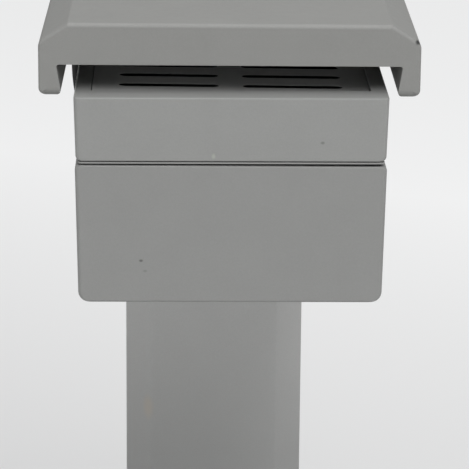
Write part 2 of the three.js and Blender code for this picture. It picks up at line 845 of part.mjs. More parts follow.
// Head: lower shell, upper shell, vent plate and window
function lowerWidthAt(level) {
  return lowerBottomWidth + ((lowerTopWidth - lowerBottomWidth) * (level - headBottom)) / lowerHeight;
}

function makeHeadShells() {
  const lowerOuter = drafted(
    lowerBottomWidth, lowerTopWidth, headDepth, headBottom, lowerTop + 2 * lowerEdgeRadius, headCornerRadius,
    lowerEdgeRadius,
  ).intersect(block(spread(0, baseWidth), spread(0, baseDepth), [headBottom, lowerTop]));
  const rimWidth = headWidth - 2 * seamInset;
  const rim = drafted(
    rimWidth, rimWidth, headDepth - 2 * seamInset, lowerTop - shellWall, upperBottom - seat, headCornerRadius,
  );
  const lowerHollow = drafted(
    lowerBottomWidth - 2 * shellWall, lowerTopWidth - 2 * shellWall, headDepth - 2 * shellWall,
    headBottom + shellWall, lowerTop + overrun, headCornerRadius,
  );
  const bossTop = headTop - neckBossDrop;
  const lower = lowerOuter.add(rim).subtract(lowerHollow)
    .subtract(rodZ(lampOpeningRadius, [0, lampY], [headBottom - overrun, headBottom + 2 * shellWall]))
    .subtract(rodZ(barrelRadius + 2 * seat, [0, lensY], [headBottom - overrun, headBottom + 2 * shellWall], fineSides))
    .subtract(block(
      spread(columnOffset, neckBossWidth + 2 * seat), [headBack - shellWall - overrun, headBack + overrun],
      [bossTop - neckBossHeight - seat, bossTop + seat],
    ));
  piece("head_lower_shell", lower, midGrey());

  const upperOuter = drafted(
    headWidth, upperTopWidth, headDepth, upperBottom - 2 * upperEdgeRadius, headTop, headCornerRadius,
    upperEdgeRadius,
  ).intersect(block(spread(0, baseWidth), spread(0, baseDepth), [upperBottom, headTop]));
  const upperHollow = drafted(
    headWidth - 2 * shellWall, upperTopWidth - 2 * shellWall, headDepth - 2 * shellWall,
    upperBottom - overrun, headTop - roofThickness, headCornerRadius,
  );
  const ventX = spread(0, ventWidth + 2 * seat);
  const ventY = [ventFront - seat, ventFront + ventDepth + seat];
  const ventSeat = headTop - ventRecess - ventThickness - seat;
  const windowSeat = headTop - windowRecess - windowThickness - seat;
  const upper = upperOuter.subtract(upperHollow)
    .subtract(block(ventX, ventY, [ventSeat, headTop + overrun]))
    .subtract(block(
      spread(0, ventWidth - 2 * ventLedge), [ventFront + ventLedge, ventFront + ventDepth - ventLedge],
      [upperBottom, headTop + overrun],
    ))
    .subtract(block(
      spread(0, windowSize + 2 * seat), spread(lensY, windowSize + 2 * seat), [windowSeat, headTop + overrun],
    ))
    .subtract(block(
      spread(0, windowSize - 2 * ventLedge), spread(lensY, windowSize - 2 * ventLedge),
      [upperBottom, headTop + overrun],
    ));
  piece("head_upper_shell", upper, paleGrey());

  let vent = block(
    spread(0, ventWidth), [ventFront, ventFront + ventDepth], [ventSeat + seat, headTop - ventRecess],
  );
  const slot = roundedRectangle(slotLength, slotWidth, slotWidth / 2);
  for (let row = 0; row < slotRows; row += 1) {
    for (const sign of [-1, 1]) {
      const place = [sign * slotCentre, ventFront + slotFirstRow + row * slotPitch, 0];
      vent = vent.subtract(upright(slot, ventSeat - overrun, headTop + overrun, cornerSteps).translate(place));
    }
  }
  piece("vent_plate", vent, midGrey());

  piece("exit_window", block(
    spread(0, windowSize), spread(lensY, windowSize), [windowSeat + seat, headTop - windowRecess],
  ), glass());
}

// Chassis plate, and what hangs from it or stands on it
function makeChassis() {
  const width = lowerWidthAt(chassisBottom) - 2 * (shellWall + seat);
  const span = [headFront + shellWall + seat, chassisFlangeBack];
  const chassis = upright(
    roundedRectangle(width, span[1] - span[0], headCornerRadius), chassisBottom, chassisTop,
  ).translate(0, (span[0] + span[1]) / 2, 0)
    .add(block(
      spread(columnOffset, neckBossWidth + 2 * chassisThickness),
      [chassisFlangeBack - chassisThickness, chassisFlangeBack],
      [chassisTop - chassisFlange, chassisTop],
    ))
    .subtract(rodZ(barrelRadius + seat, [0, lensY], [chassisBottom - overrun, chassisTop + overrun], fineSides));
  piece("chassis_plate", chassis, galvanised());

  piece("thermal_cutout", rodZ(
    cutoutRadius, [cutoutX, stageCentreY], [chassisBottom - seat - cutoutHeight, chassisBottom - seat],
  ), ceramic());

  const terminalBottom = chassisTop + seat;
  const towerTop = terminalBottom + terminalHeight;
  const stripTop = terminalBottom + terminalHeight * terminalTowerShare;
  let terminals = block(spread(-cutoutX / 2, terminalLength), spread(lampY, terminalWidth), [terminalBottom, stripTop]);
  const way = terminalLength / terminalWays;
  for (let i = 0; i < terminalWays; i += 1) {
    const x = -cutoutX / 2 + (i - (terminalWays - 1) / 2) * way;
    const tower = block(spread(x, way * terminalTowerShare), spread(lampY, terminalWidth / 2), [terminalBottom, towerTop]);
    terminals = terminals.add(tower);
  }
  piece("terminal_block", terminals, nylon());
}

// Projection lens: barrel with two elements and a retaining ring
function makeLens() {
  const inner = barrelRadius - barrelWall;
  const lip = inner - barrelLip;
  const bottom = headBottom + barrelLip / 2;
  const top = headTop - barrelTopDrop;
  const flangeBottom = chassisTop + seat;
  const shoulder = headTop - upperLensDrop;
  const barrel = turned([
    [lip, bottom],
    [barrelRadius, bottom],
    [barrelRadius, flangeBottom],
    [barrelFlangeRadius, flangeBottom],
    [barrelFlangeRadius, flangeBottom + barrelFlangeThickness],
    [barrelRadius, flangeBottom + barrelFlangeThickness],
    [barrelRadius, top],
    [inner, top],
    [inner, shoulder],
    [lip, shoulder],
    [lip, shoulder - barrelWall],
    [inner, shoulder - barrelWall],
    [inner, bottom + barrelWall],
    [lip, bottom + barrelWall],
  ], [0, lensY]);
  piece("lens_barrel", barrel, darkPlastic());

  function element(rest, bulge) {
    const radius = inner - seat;
    const edgeTop = rest + lensEdge;
    const steps = 4;
    const profile = [[0, rest], [radius, rest], [radius, edgeTop]];
    for (let i = 1; i <= steps; i += 1) {
      const angle = (Math.PI / 2) * (i / steps);
      profile.push([radius * Math.cos(angle), edgeTop + bulge * Math.sin(angle)]);
    }
    profile[profile.length - 1][0] = 0;
    return turned(profile, [0, lensY]);
  }
  piece("lens_lower_element", element(bottom + barrelWall + seat, lensBulge), glass());
  piece("lens_upper_element", element(shoulder + seat, lensBulge), glass());

  const ringBottom = shoulder + 2 * seat + lensEdge;
  const ring = turned([
    [lip, ringBottom + lensBulge / 2],
    [inner - seat, ringBottom],
    [inner - seat, ringBottom + lensBulge / 2 + retainerHeight],
    [lip, ringBottom + lensBulge / 2 + retainerHeight],
  ], [0, lensY]);
  piece("lens_retaining_ring", ring, darkPlastic());
}

// Lamp, its socket and bracket, reflector, condenser and window
function makeLamp() {
  const lampSpan = spread(0, lampLength);
  const bulbPoints = [[0, lampSpan[0]], [lampRadius / 2, lampSpan[0]], [lampRadius, lampSpan[0] + lampRadius]];
  bulbPoints.push([lampRadius, lampSpan[1] - lampRadius], [lampRadius / 2, lampSpan[1]], [0, lampSpan[1]]);
  const bulb = turned(bulbPoints, [0, 0], smallSides).rotate([0, 90, 0]).translate([0, lampY, lampZ]);
  piece("lamp_bulb", bulb, glass());

  const socketLeft = lampSpan[1] + seat;
  const socketRight = socketLeft + socketBlock;
  piece("lamp_socket", block(
    [socketLeft, socketRight], spread(lampY, socketBlock), spread(lampZ, socketBlock),
  ), ceramic());

  const sheetLeft = socketRight + seat;
  const footTop = chassisBottom - seat;
  const bracket = block(
    [sheetLeft, sheetLeft + bracketSheet], spread(lampY, socketBlock), [lampZ - socketBlock / 2, footTop],
  ).add(block(
    [sheetLeft, sheetLeft + bracketFoot], spread(lampY, socketBlock), [footTop - bracketSheet, footTop],
  ));
  piece("lamp_bracket", bracket, galvanised());

  // The reflector is a bowl over the lamp, hung from the chassis by its stem
  const bowl = [];
  const steps = 5;
  const rimAngle = Math.asin(reflectorRim / reflectorRadius);
  for (let i = 0; i <= steps; i += 1) {
    const angle = rimAngle + (Math.PI / 2 - rimAngle) * (i / steps);
    bowl.push([reflectorRadius * Math.cos(angle), lampZ + reflectorRadius * Math.sin(angle)]);
  }
  const outerTop = bowl.pop()[1];
  const inside = bowl.map(([radius, level]) => {
    const share = 1 - reflectorWall / reflectorRadius;
    return [radius * share, lampZ + (level - lampZ) * share];
  });
  const stem = [[reflectorStem, outerTop - reflectorWall / 2], [reflectorStem, chassisBottom - seat], [0, chassisBottom - seat]];
  const crown = [[0, outerTop - reflectorWall]];
  piece("lamp_reflector", turned([...bowl, ...stem, ...crown, ...inside.reverse()], [0, lampY]), silvered());

  const floor = headBottom + shellWall + seat;
  piece("lamp_window", rodZ(lampWindowRadius, [0, lampY], [floor, floor + lampWindowThickness]), glass());

  const ledgeTop = floor + condenserLift;
  const ringTop = ledgeTop + seat + condenserRimHeight + seat;
  const ringInner = condenserRadius + seat;
  const ring = turned([
    [ringInner - condenserLedge, floor],
    [ringInner + condenserRingWall, floor],
    [ringInner + condenserRingWall, ringTop],
    [ringInner, ringTop],
    [ringInner, ledgeTop],
    [ringInner - condenserLedge, ledgeTop],
  ], [0, lampY]);
  piece("condenser_ring", ring, galvanised());

  const rest = ledgeTop + seat;
  const rimTop = rest + condenserRimHeight;
  const profile = [[0, rest], [condenserRadius, rest], [condenserRadius, rimTop]];
  const domeSteps = 4;
  for (let i = 1; i < domeSteps; i += 1) {
    const angle = (Math.PI / 2) * (i / domeSteps);
    profile.push([condenserRadius * Math.cos(angle), rimTop + condenserBulge * Math.sin(angle)]);
  }
  profile.push([0, rimTop + condenserBulge]);
  piece("condenser_lens", turned(profile, [0, lampY]), glass());
}

// Fan: square frame with a spider and a fixed shaft, and the impeller that runs on it
function makeFan() {
  const middle = [lampY, chassisBottom - seat - fanSize / 2];
  const [left, right] = spread(fanCentreX, fanThickness);
  const spider = [right - fanSpiderThickness, right];
  let frame = block([left, right], spread(middle[0], fanSize), spread(middle[1], fanSize))
    .subtract(rodX(fanBore, [left - overrun, right + overrun], middle))
    .add(rodX(fanHubRadius, spider, middle))
    .add(rodX(fanShaftRadius, [spider[0] - fanShaftLength, spider[1]], middle, smallSides));
  for (const turn of [45, 135]) {
    const arm = block(spread(0, fanSpiderThickness), spread(0, 2 * fanBore + fanArmWidth), spread(0, fanArmWidth));
    frame = frame.add(arm.rotate([turn, 0, 0]).translate([(spider[0] + spider[1]) / 2, ...middle]));
  }
  piece("fan_frame", frame, darkPlastic());

  const hubRight = spider[0] - runningGap;
  const hubLeft = hubRight - impellerDepth;
  let impeller = rodX(fanHubRadius, [hubLeft, hubRight], middle);
  const bladeSpan = fanBore - bladeTipGap - fanHubRadius / 2;
  for (let i = 0; i < bladeCount; i += 1) {
    const blade = block(spread(0, bladeChord), spread(0, bladeThickness), [fanHubRadius / 2, fanHubRadius / 2 + bladeSpan])
      .rotate([0, 0, bladePitch])
      .rotate([(360 * i) / bladeCount, 0, 0])
      .translate([(hubLeft + hubRight) / 2, ...middle]);
    impeller = impeller.add(blade);
  }
  impeller = impeller.subtract(rodX(
    fanShaftRadius + seat, [hubRight - fanShaftLength, hubRight + overrun], middle, smallSides,
  ));
  piece("fan_impeller", impeller, darkPlastic());
}

// Lid: a chamfered channel with a front lip, skirts at its sides, and the mirror under it
const lidFront = headFront - lidFrontOverhang;
const lidBack = headBack + lidRearOverhang;

function lidOutside() {
  const half = lidWidth / 2;
  const top = headTop + lidTop;
  const bottom = headTop + lidSkirtBottom;
  const radius = lidFootRadius;
  const shape = new THREE.Shape();
  shape.moveTo(half - lidChamferWidth, top);
  shape.lineTo(lidChamferWidth - half, top);
  shape.lineTo(-half, top - lidChamferHeight);
  shape.lineTo(-half, bottom + radius);
  shape.absarc(radius - half, bottom + radius, radius, Math.PI, 1.5 * Math.PI);
  shape.lineTo(half - radius, bottom);
  shape.absarc(half - radius, bottom + radius, radius, 1.5 * Math.PI, 2 * Math.PI);
  shape.lineTo(half, top - lidChamferHeight);
  return shape;
}

function lidInside(top) {
  const foot = lidWidth / 2 - lidSkirtFoot;
  const root = lidWidth / 2 - lidSkirtRoot;
  const slope = (root - foot) / (lidLipBottom - lidSkirtBottom);
  const bottom = headTop + lidSkirtBottom - overrun;
  const shoulder = Math.min(top, headTop + lidTop - lidChamferHeight);
  const corner = root - (lidChamferWidth * (top - shoulder)) / lidChamferHeight;
  return outline([
    [slope * overrun - foot, bottom],
    [foot - slope * overrun, bottom],
    [root, headTop + lidLipBottom],
    [root, shoulder],
    [corner, top],
    [-corner, top],
    [-root, shoulder],
    [-root, headTop + lidLipBottom],
  ]);
}

function makeLid() {
  const panelUnderside = headTop + lidTop - lidSheet;
  const lipBottom = headTop + lidLipBottom;
  const boreSpan = lidWidth / 2 - lidSkirtRoot + hingePinBite + seat;
  const lid = alongY(lidOutside(), lidFront, lidBack)
    .subtract(alongY(lidInside(panelUnderside), lidFront + lidSheet, lidBack - lidSheet))
    .subtract(alongY(lidInside(lipBottom), lidFront - overrun, lidBack + overrun))
    .subtract(rodX(hingePinRadius + seat, spread(0, 2 * boreSpan), [hingeY, hingeZ], roundSides));
  piece("lid_shell", lid, paleGrey());

  const mirrorFront = lidFront + lidMirrorFront;
  const mirrorY = [mirrorFront, mirrorFront + lidMirrorSize];
  const mirrorTop = panelUnderside - seat;
  const mirrorBottom = mirrorTop - lidMirrorThickness;
  piece("lid_mirror", block(spread(0, lidMirrorSize), mirrorY, [mirrorBottom, mirrorTop]), silvered());

  const grow = (size) => [
    spread(0, lidMirrorSize + 2 * size), [mirrorY[0] - size, mirrorY[1] + size],
  ];
  const frameBottom = mirrorBottom - seat - mirrorFrameDepth;
  const frame = block(...grow(seat + mirrorFrameWall), [frameBottom, mirrorTop])
    .subtract(block(...grow(seat), [mirrorBottom - seat, mirrorTop + overrun]))
    .subtract(block(...grow(-mirrorFrameLip), [frameBottom - overrun, mirrorTop]));
  piece("mirror_frame", frame, darkPlastic());

  for (const [side, sign] of [["left", -1], ["right", 1]]) {
    const span = (near, far) => [Math.min(sign * near, sign * far), Math.max(sign * near, sign * far)];
    const lugInner = hingeLugOuter - hingeSheet;
    const footBottom = headTop + seat;
    // The lug leans forward from its eye, clear of the lid's back wall as that swings down behind it
    const lug = new THREE.Shape();
    lug.moveTo(hingeY - hingeFootDepth, footBottom);
    lug.lineTo(hingeY, footBottom);
    lug.lineTo(hingeY, hingeZ - hingeLugRadius);
    lug.absarc(hingeY, hingeZ, hingeLugRadius, -Math.PI / 2, Math.PI);
    lug.lineTo(hingeY - hingeFootDepth, footBottom + 2 * hingeSheet);
    const bracket = block(
      span(hingeLugOuter - hingeFootWidth, hingeLugOuter), [hingeY - hingeFootDepth, hingeY],
      [footBottom, footBottom + hingeSheet],
    ).add(alongX(lug, ...span(lugInner, hingeLugOuter), edgeSteps))
      .subtract(rodX(hingePinRadius + seat, span(lugInner - overrun, hingeLugOuter + overrun), [hingeY, hingeZ]));
    piece(`hinge_bracket_${side}`, bracket, steel());

    const skirtFace = lidWidth / 2 - lidSkirtRoot;
    const headEnd = lugInner - seat;
    const pin = rodX(hingePinRadius, span(headEnd - hingeHeadLength, skirtFace + hingePinBite), [hingeY, hingeZ])
      .add(rodX(hingeHeadRadius, span(headEnd - hingeHeadLength, headEnd), [hingeY, hingeZ]));
    piece(`hinge_pin_${side}`, pin, steel());

    const washerFace = lidWidth / 2 - lidSkirtFoot;
    const washer = rodX(washerRadius, span(hingeLugOuter + seat, washerFace), [hingeY, hingeZ])
      .subtract(rodX(hingePinRadius + seat, span(hingeLugOuter, washerFace + overrun), [hingeY, hingeZ]));
    piece(`friction_washer_${side}`, washer, nylon());
  }
}

makeBaseShells();
makeFeet();
makeStage();
makeBaseElectrics();
makeColumn();
makeCarriage();
makeFocusDrive();
makeHeadShells();
makeChassis();
makeLens();
makeLamp();
makeFan();
makeLid();

export default projector;
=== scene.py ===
"""Looks of an overhead projector with a reflective stage.

The frame supplies the construction. Each operator below dresses one piece, or one group of like
pieces, and the last one sets the floor, the lamps and the camera. Lengths are in metres, except where a
helper's text says millimetres.
"""

import math
from itertools import product

import bmesh
import bpy
from mathutils import Matrix, Vector


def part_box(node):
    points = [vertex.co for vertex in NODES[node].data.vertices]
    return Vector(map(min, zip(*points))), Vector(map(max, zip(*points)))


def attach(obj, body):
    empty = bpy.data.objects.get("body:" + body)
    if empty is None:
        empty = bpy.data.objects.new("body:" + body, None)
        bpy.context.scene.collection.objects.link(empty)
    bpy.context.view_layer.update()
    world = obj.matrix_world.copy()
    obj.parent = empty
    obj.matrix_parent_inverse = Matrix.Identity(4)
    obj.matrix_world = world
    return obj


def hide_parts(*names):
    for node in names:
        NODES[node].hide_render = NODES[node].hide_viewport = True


bl_info = {
    "name": "Overhead Projector",
    "version": (1, 0, 0),
    "blender": (4, 5, 0),
    "location": "3D View > Sidebar > Projector",
    "description": "Dresses an overhead projector: shells, lid, optics, column, focus drive and base",
    "category": "Object",
}

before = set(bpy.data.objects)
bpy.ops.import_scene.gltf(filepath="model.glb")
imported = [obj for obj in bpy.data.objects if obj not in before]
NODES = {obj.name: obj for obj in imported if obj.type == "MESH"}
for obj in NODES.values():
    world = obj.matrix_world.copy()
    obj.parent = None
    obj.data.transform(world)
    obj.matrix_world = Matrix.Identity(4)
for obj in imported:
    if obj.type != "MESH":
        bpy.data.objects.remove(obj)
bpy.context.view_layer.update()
MM = 0.001


# Places taken from the frame
def low(node):
    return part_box(node)[0]


def high(node):
    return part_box(node)[1]


def middle(node):
    return (low(node) + high(node)) / 2


def half_width(node):
    return (high(node).x - low(node).x) / 2


HEAD_TOP = high("head_upper_shell").z
HEAD_BOTTOM = low("head_lower_shell").z
HEAD_FRONT = low("head_upper_shell").y
HEAD_BACK = high("head_upper_shell").y
HEAD_DEPTH = HEAD_BACK - HEAD_FRONT
HEAD_CENTRE = (0, (HEAD_FRONT + HEAD_BACK) / 2)
UPPER_BOTTOM = low("head_upper_shell").z
LID_TOP = high("lid_shell").z
LID_FRONT = low("lid_shell").y
LID_BACK = high("lid_shell").y
LID_HALF = high("lid_shell").x
LID_BOTTOM = low("lid_shell").z
COLUMN_X = middle("column_front_shell").x


def distance(name, default, description):
    return bpy.props.FloatProperty(
        name=name, description=description, default=default, min=0, unit="LENGTH", precision=5
    )


def colour(name, default, description):
    return bpy.props.FloatVectorProperty(
        name=name, description=description, default=default, size=3, min=0, max=1, subtype="COLOR"
    )


def amount(name, default, description):
    return bpy.props.FloatProperty(name=name, description=description, default=default, min=0)


class ProjectorColours(bpy.types.PropertyGroup):
    """Colours of the finishes, in scene linear values"""

    shell: colour("Shell", (0.272, 0.275, 0.269), "Satin grey of the upper shell and the base")
    lid: colour("Lid", (0.238, 0.239, 0.231), "Satin grey of the lid")
    lower: colour("Lower shell", (0.252, 0.254, 0.249), "Satin grey of the lower shell")
    column: colour("Column", (0.470, 0.472, 0.466), "Paler grey of the column")
    metal_paint: colour("Painted metal", (0.300, 0.303, 0.296), "Grey paint of the plates and casting")
    black: colour("Black plastic", (0.011, 0.011, 0.012), "Black of the trims and fittings")
    speck: colour("Specks", (0.055, 0.05, 0.045), "Small dark marks of use on the shells")
    rubber: colour("Rubber", (0.006, 0.006, 0.006), "Feet and knobs")
    nylon: colour("Nylon", (0.72, 0.70, 0.63), "Guide shoes, washers and terminal strip")
    ceramic: colour("Ceramic", (0.78, 0.74, 0.66), "Lamp socket and thermal cutout")
    steel: colour("Steel", (0.55, 0.56, 0.57), "Drawn and turned steel")
    zinc: colour("Zinc", (0.56, 0.57, 0.56), "Zinc plated sheet")
    brass: colour("Brass", (0.62, 0.43, 0.16), "Pinion")
    copper: colour("Copper", (0.55, 0.20, 0.07), "Transformer winding")


class ProjectorEdges(bpy.types.PropertyGroup):
    """Edge radii and small gaps of the dressed pieces"""

    corner: distance("Head corner", 2.3 * MM, "Radius of the head's upright edges")
    upper_rim: distance("Upper rim", 1.7 * MM, "Radius at the head's top front edge")
    upper_side: distance("Upper side", 1.4 * MM, "Radius along the head's two top side edges")
    seam_side: distance("Seam side", 2.5 * MM, "Radius at the sides of the shells where they meet")
    seam_edge: distance("Seam edge", 0.8 * MM, "Radius at the front of the shells where they meet")
    floor_side: distance("Floor side", 5.2 * MM, "Radius along the two lower sides of the head")
    floor_edge: distance("Floor edge", 1.2 * MM, "Radius at the front and back of the head's floor")
    lid_edge: distance("Lid edge", 0.9 * MM, "Radius of the edges under the lid")
    lid_brow: distance("Lid brow", 2.4 * MM, "Radius where the lid's top turns down to its front")
    lid_cheek: distance("Lid cheek", 1.3 * MM, "Radius where the lid's sides meet its front and back")
    lid_ridge: distance("Lid ridge", 2.2 * MM, "Radius where the lid's flat meets its chamfers")
    lid_side: distance("Lid side", 5.4 * MM, "Radius where the lid's chamfers meet its sides")
    lid_foot: distance("Lid foot", 4.0 * MM, "Radius under the lid's skirts")
    lid_toe: distance("Lid toe", 4.6 * MM, "Radius at the front of the lid's skirts, where they end")
    wall: distance("Shell wall", 2.5 * MM, "Thickness of the moulded shells")
    column_edge: distance("Column edge", 3.0 * MM, "Radius of the column's folds")
    fine: distance("Fine edge", 0.35 * MM, "Broken edge of sheet and machined pieces")


class ProjectorStudio(bpy.types.PropertyGroup):
    """Floor, lamps and camera"""

    key: amount("Key", 32.5, "Power of the large lamp in front and above, in watts")
    top: amount("Top", 15.5, "Power of the lamp overhead, in watts")
    right: amount("Right", 8.5, "Power of the lamp at the right, in watts")
    left: amount("Left", 8.0, "Power of the lamp at the left, in watts")
    ambient: amount("Ambient", 0.36, "Strength of the surroundings on the object")
    backdrop: amount("Backdrop", 0.8, "How pale the surroundings look past the floor, where 1 is white")
    floor_light: amount("Floor", 0.9, "How pale the floor looks to the camera, where 1 is white")
    focal_px: amount("Focal length", 2705.0, "Focal length in pixels of the picture")
    picture_px: amount("Picture", 469.0, "Width of the picture in pixels")


# Shader sockets that can be used in sums
class Wire:
    """A node's output, which arithmetic turns into further nodes"""

    def __init__(self, surface, socket):
        self.surface = surface
        self.socket = socket


def arithmetic(operation):
    """The two methods for one sum: with the wire on the left, and with it on the right"""

    def forward(self, other):
        return self.surface.maths(operation, self, other)

    def reflected(self, other):
        return self.surface.maths(operation, other, self)

    return forward, reflected


for symbol, operation in (("add", "ADD"), ("sub", "SUBTRACT"), ("mul", "MULTIPLY"), ("truediv", "DIVIDE")):
    for side, method in zip(("", "r"), arithmetic(operation)):
        setattr(Wire, f"__{side}{symbol}__", method)
Wire.__lt__, Wire.__gt__ = arithmetic("LESS_THAN")


class Surface:
    """A node material for one finish"""

    def __init__(self, name, **constants):
        self.material = bpy.data.materials.new(name)
        self.material.use_nodes = True
        self.tree = self.material.node_tree
        self.tree.nodes.clear()
        self.output = self.tree.nodes.new("ShaderNodeOutputMaterial")
        self.shader = self.tree.nodes.new("ShaderNodeBsdfPrincipled")
        self.tree.links.new(self.shader.outputs[0], self.output.inputs["Surface"])
        for socket, value in constants.items():
            self.shader.inputs[socket.replace("_", " ")].default_value = value

    def add(self, kind, settings=None, inputs=None, output=0):
        """One node: its settings first, then the values or wires of its sockets"""
        node = self.tree.nodes.new(kind)
        for name, value in (settings or {}).items():
            if name == "stops":
                for element, (place, shade) in zip(node.color_ramp.elements, value):
                    element.position = place
                    element.color = (shade, shade, shade, 1)
            else:
                setattr(node, name, value)
        for key, value in (inputs or {}).items():
            if isinstance(value, Wire):
                self.tree.links.new(value.socket, node.inputs[key])
            else:
                node.inputs[key].default_value = value
        return Wire(self, node.outputs[output])

    def feed(self, socket, wire):
        self.tree.links.new(wire.socket, self.shader.inputs[socket])

    def maths(self, operation, left, right=0.5):
        return self.add("ShaderNodeMath", {"operation": operation}, {0: left, 1: right})

    def vector(self, operation, left, right):
        return self.add("ShaderNodeVectorMath", {"operation": operation}, {0: left, 1: right})

    def length(self, vector):
        return self.add("ShaderNodeVectorMath", {"operation": "LENGTH"}, {0: vector}, "Value")

    def place(self):
        """Coordinates of the piece itself, in metres"""
        return self.add("ShaderNodeTexCoord", output="Object")

    def noise(self, size, detail=2.0, roughness=0.5, stretch=None):
        """Noise whose features are about this size"""
        place = self.vector("MULTIPLY", self.place(), stretch) if stretch else self.place()
        inputs = {"Vector": place, "Scale": 1 / size, "Detail": detail, "Roughness": roughness}
        return self.add("ShaderNodeTexNoise", {}, inputs, "Fac")

    def cells(self, size):
        return self.add("ShaderNodeTexVoronoi", {}, {"Vector": self.place(), "Scale": 1 / size}, "Distance")

    def waves(self, direction, scale):
        inputs = {"Vector": self.place(), "Scale": scale}
        return self.add("ShaderNodeTexWave", {"bands_direction": direction}, inputs, "Fac")

    def ramp(self, value, start, end, rising=True):
        """0 up to start and 1 from end on, or the other way round"""
        stops = [(start, float(not rising)), (end, float(rising))]
        return self.add("ShaderNodeValToRGB", {"stops": stops}, {"Fac": value}, "Color")

    def tint(self, factor, dark, light):
        """A colour between two others, of which the first may be a wire"""
        under = dark if isinstance(dark, Wire) else (*dark, 1)
        return self.add("ShaderNodeMix", {"data_type": "RGBA"}, {0: factor, 6: under, 7: (*light, 1)}, 2)

    def blot(self, centre, reach):
        """High inside one small spot with an uneven edge"""
        away = self.vector("DIVIDE", self.vector("SUBTRACT", self.place(), centre), reach)
        uneven = 0.5 * self.length(away) + 0.2 * self.noise(0.7 * MM)
        return self.ramp(uneven, 0.35, 0.7, rising=False)

    def paint(self, tone, shades, roughness):
        """Colour between two shades, and roughness"""
        self.feed("Base Color", self.tint(tone, *shades))
        self.feed("Roughness", roughness)

    def relief(self, height, depth, strength):
        """Bumps of a given depth in metres"""
        inputs = {"Height": height, "Distance": depth, "Strength": strength}
        self.feed("Normal", self.add("ShaderNodeBump", {}, inputs, "Normal"))


def scaled(shade, factor):
    return tuple(channel * factor for channel in shade)


def edges():
    return bpy.context.scene.projector_edges


def panel_colour(name):
    return tuple(getattr(bpy.context.scene.projector_colours, name))


def tones(name, dark, light):
    """Two shades of one of the panel's colours"""
    shade = panel_colour(name)
    return scaled(shade, dark), scaled(shade, light)


finished = {}


def finish(name, **constants):
    """Makes a finish the first time that a piece asks for it, by completing a surface"""

    def wrap(complete):
        def find():
            if name not in finished:
                surface = Surface(name, **constants)
                complete(surface)
                finished[name] = surface.material
            return finished[name]

        return find

    return wrap


# Finishes
def spot(x, y, z, width, height, tone, depth=4):
    """One spot on a finish: its place and half sizes in millimetres, and its tone against the finish. Spots
    serve for marks of use, for a painted highlight and for painted shade
    """
    return scaled((x, y, z), MM), scaled((width, depth, height), MM), tone


def moulded(name, colour_name, *spots):
    """Satin moulded plastic: fine orange peel, faint mottling, a few tiny specks, and the spots it is
    given: marks of use, a painted highlight and painted shade
    """

    @finish(name, IOR=1.46)
    def plastic(surface):
        shade = panel_colour(colour_name)
        tone = 0.35 * surface.noise(22 * MM, 3.0) + 0.65 * surface.noise(0.8 * MM, 2.0, 0.6)
        base = surface.tint(tone, scaled(shade, 0.90), scaled(shade, 1.10))
        specks = (surface.cells(26 * MM) < 0.012) * (surface.noise(60 * MM, 1.0) > 0.55)
        base = surface.tint(specks, base, panel_colour("speck"))
        # Each spot tints the finish: most are marks of use, the rest are a painted highlight and painted
        # shade
        for centre, reach, tone in spots:
            mark_and_painted_light_colour = tuple(channel * share for channel, share in zip(shade, tone))
            base = surface.tint(surface.blot(centre, reach), base, mark_and_painted_light_colour)
        surface.feed("Base Color", base)
        surface.feed("Roughness", 0.50 + 0.10 * surface.noise(5 * MM))
        peel = 0.6 * surface.noise(0.95 * MM, 1.5) + 0.4 * surface.noise(2.4 * MM, 1.0)
        surface.relief(peel, 0.05 * MM, 0.55)

    return plastic


shell_grey = moulded(
    "satin_grey_shell", "shell",
    spot(46.9, -130, 479.8, 1.1, 0.8, (0.62, 0.62, 0.62)),
    spot(-9.1, -130, 472.5, 1.0, 1.5, (1.25, 1.27, 1.20)),
    # Painted highlight: a pale line along the head's top left edge, where the edge catches the light
    spot(-81.0, -70, 503.8, 1.1, 1.0, (3.4, 3.4, 3.3), 60),
)
lid_grey = moulded(
    "satin_grey_lid", "lid",
    spot(95.3, -122.7, 531.2, 1.5, 1.3, (0.12, 0.12, 0.12)),
)
lower_grey = moulded(
    "satin_grey_lower", "lower",
    spot(-46.5, -130, 416.4, 1.1, 0.75, (0.42, 0.42, 0.42)),
    spot(-44.4, -130, 410.8, 1.2, 0.7, (0.80, 0.80, 0.80)),
)
# Painted shade: the column darkens towards its foot
column_grey = moulded(
    "satin_grey_column", "column",
    spot(0, 139.5, 113.0, 1000, 164.0, (0.77, 0.77, 0.77), 1000),
    spot(-46.2, 139.5, 238.0, 4.0, 8.0, (0.93, 0.87, 0.80)),
)


@finish("painted_sheet", IOR=1.5)
def painted_sheet(surface):
    """Baked paint on metal: smoother than the mouldings, with a wide soft ripple"""
    tone = 0.5 * surface.noise(14 * MM) + 0.5 * surface.noise(0.6 * MM, 1.0)
    surface.paint(tone, tones("metal_paint", 0.92, 1.08), 0.42 + 0.12 * surface.noise(8 * MM))
    surface.relief(surface.noise(1.3 * MM), 0.04 * MM, 0.5)


@finish("painted_casting", IOR=1.5)
def painted_casting(surface):
    """Grey paint over a sand-cast surface"""
    tone = surface.noise(3 * MM, 4.0, 0.6)
    surface.paint(tone, tones("metal_paint", 0.88, 1.10), 0.5 + 0.15 * surface.noise(6 * MM))
    surface.relief(surface.noise(1.8 * MM, 3.0, 0.6), 0.12 * MM, 0.6)


@finish("black_plastic", IOR=1.48, Specular_IOR_Level=0.3)
def black_plastic(surface):
    """Black plastic with a fine spark-eroded texture, scuffed a little paler in patches"""
    spots = surface.ramp(surface.noise(9 * MM, 4.0, 0.65), 0.45, 0.75)
    surface.paint(spots, tones("black", 1, 1.8), 0.38 + 0.22 * surface.noise(4 * MM, 3.0))
    surface.relief(surface.noise(0.5 * MM, 1.0), 0.05 * MM, 0.6)


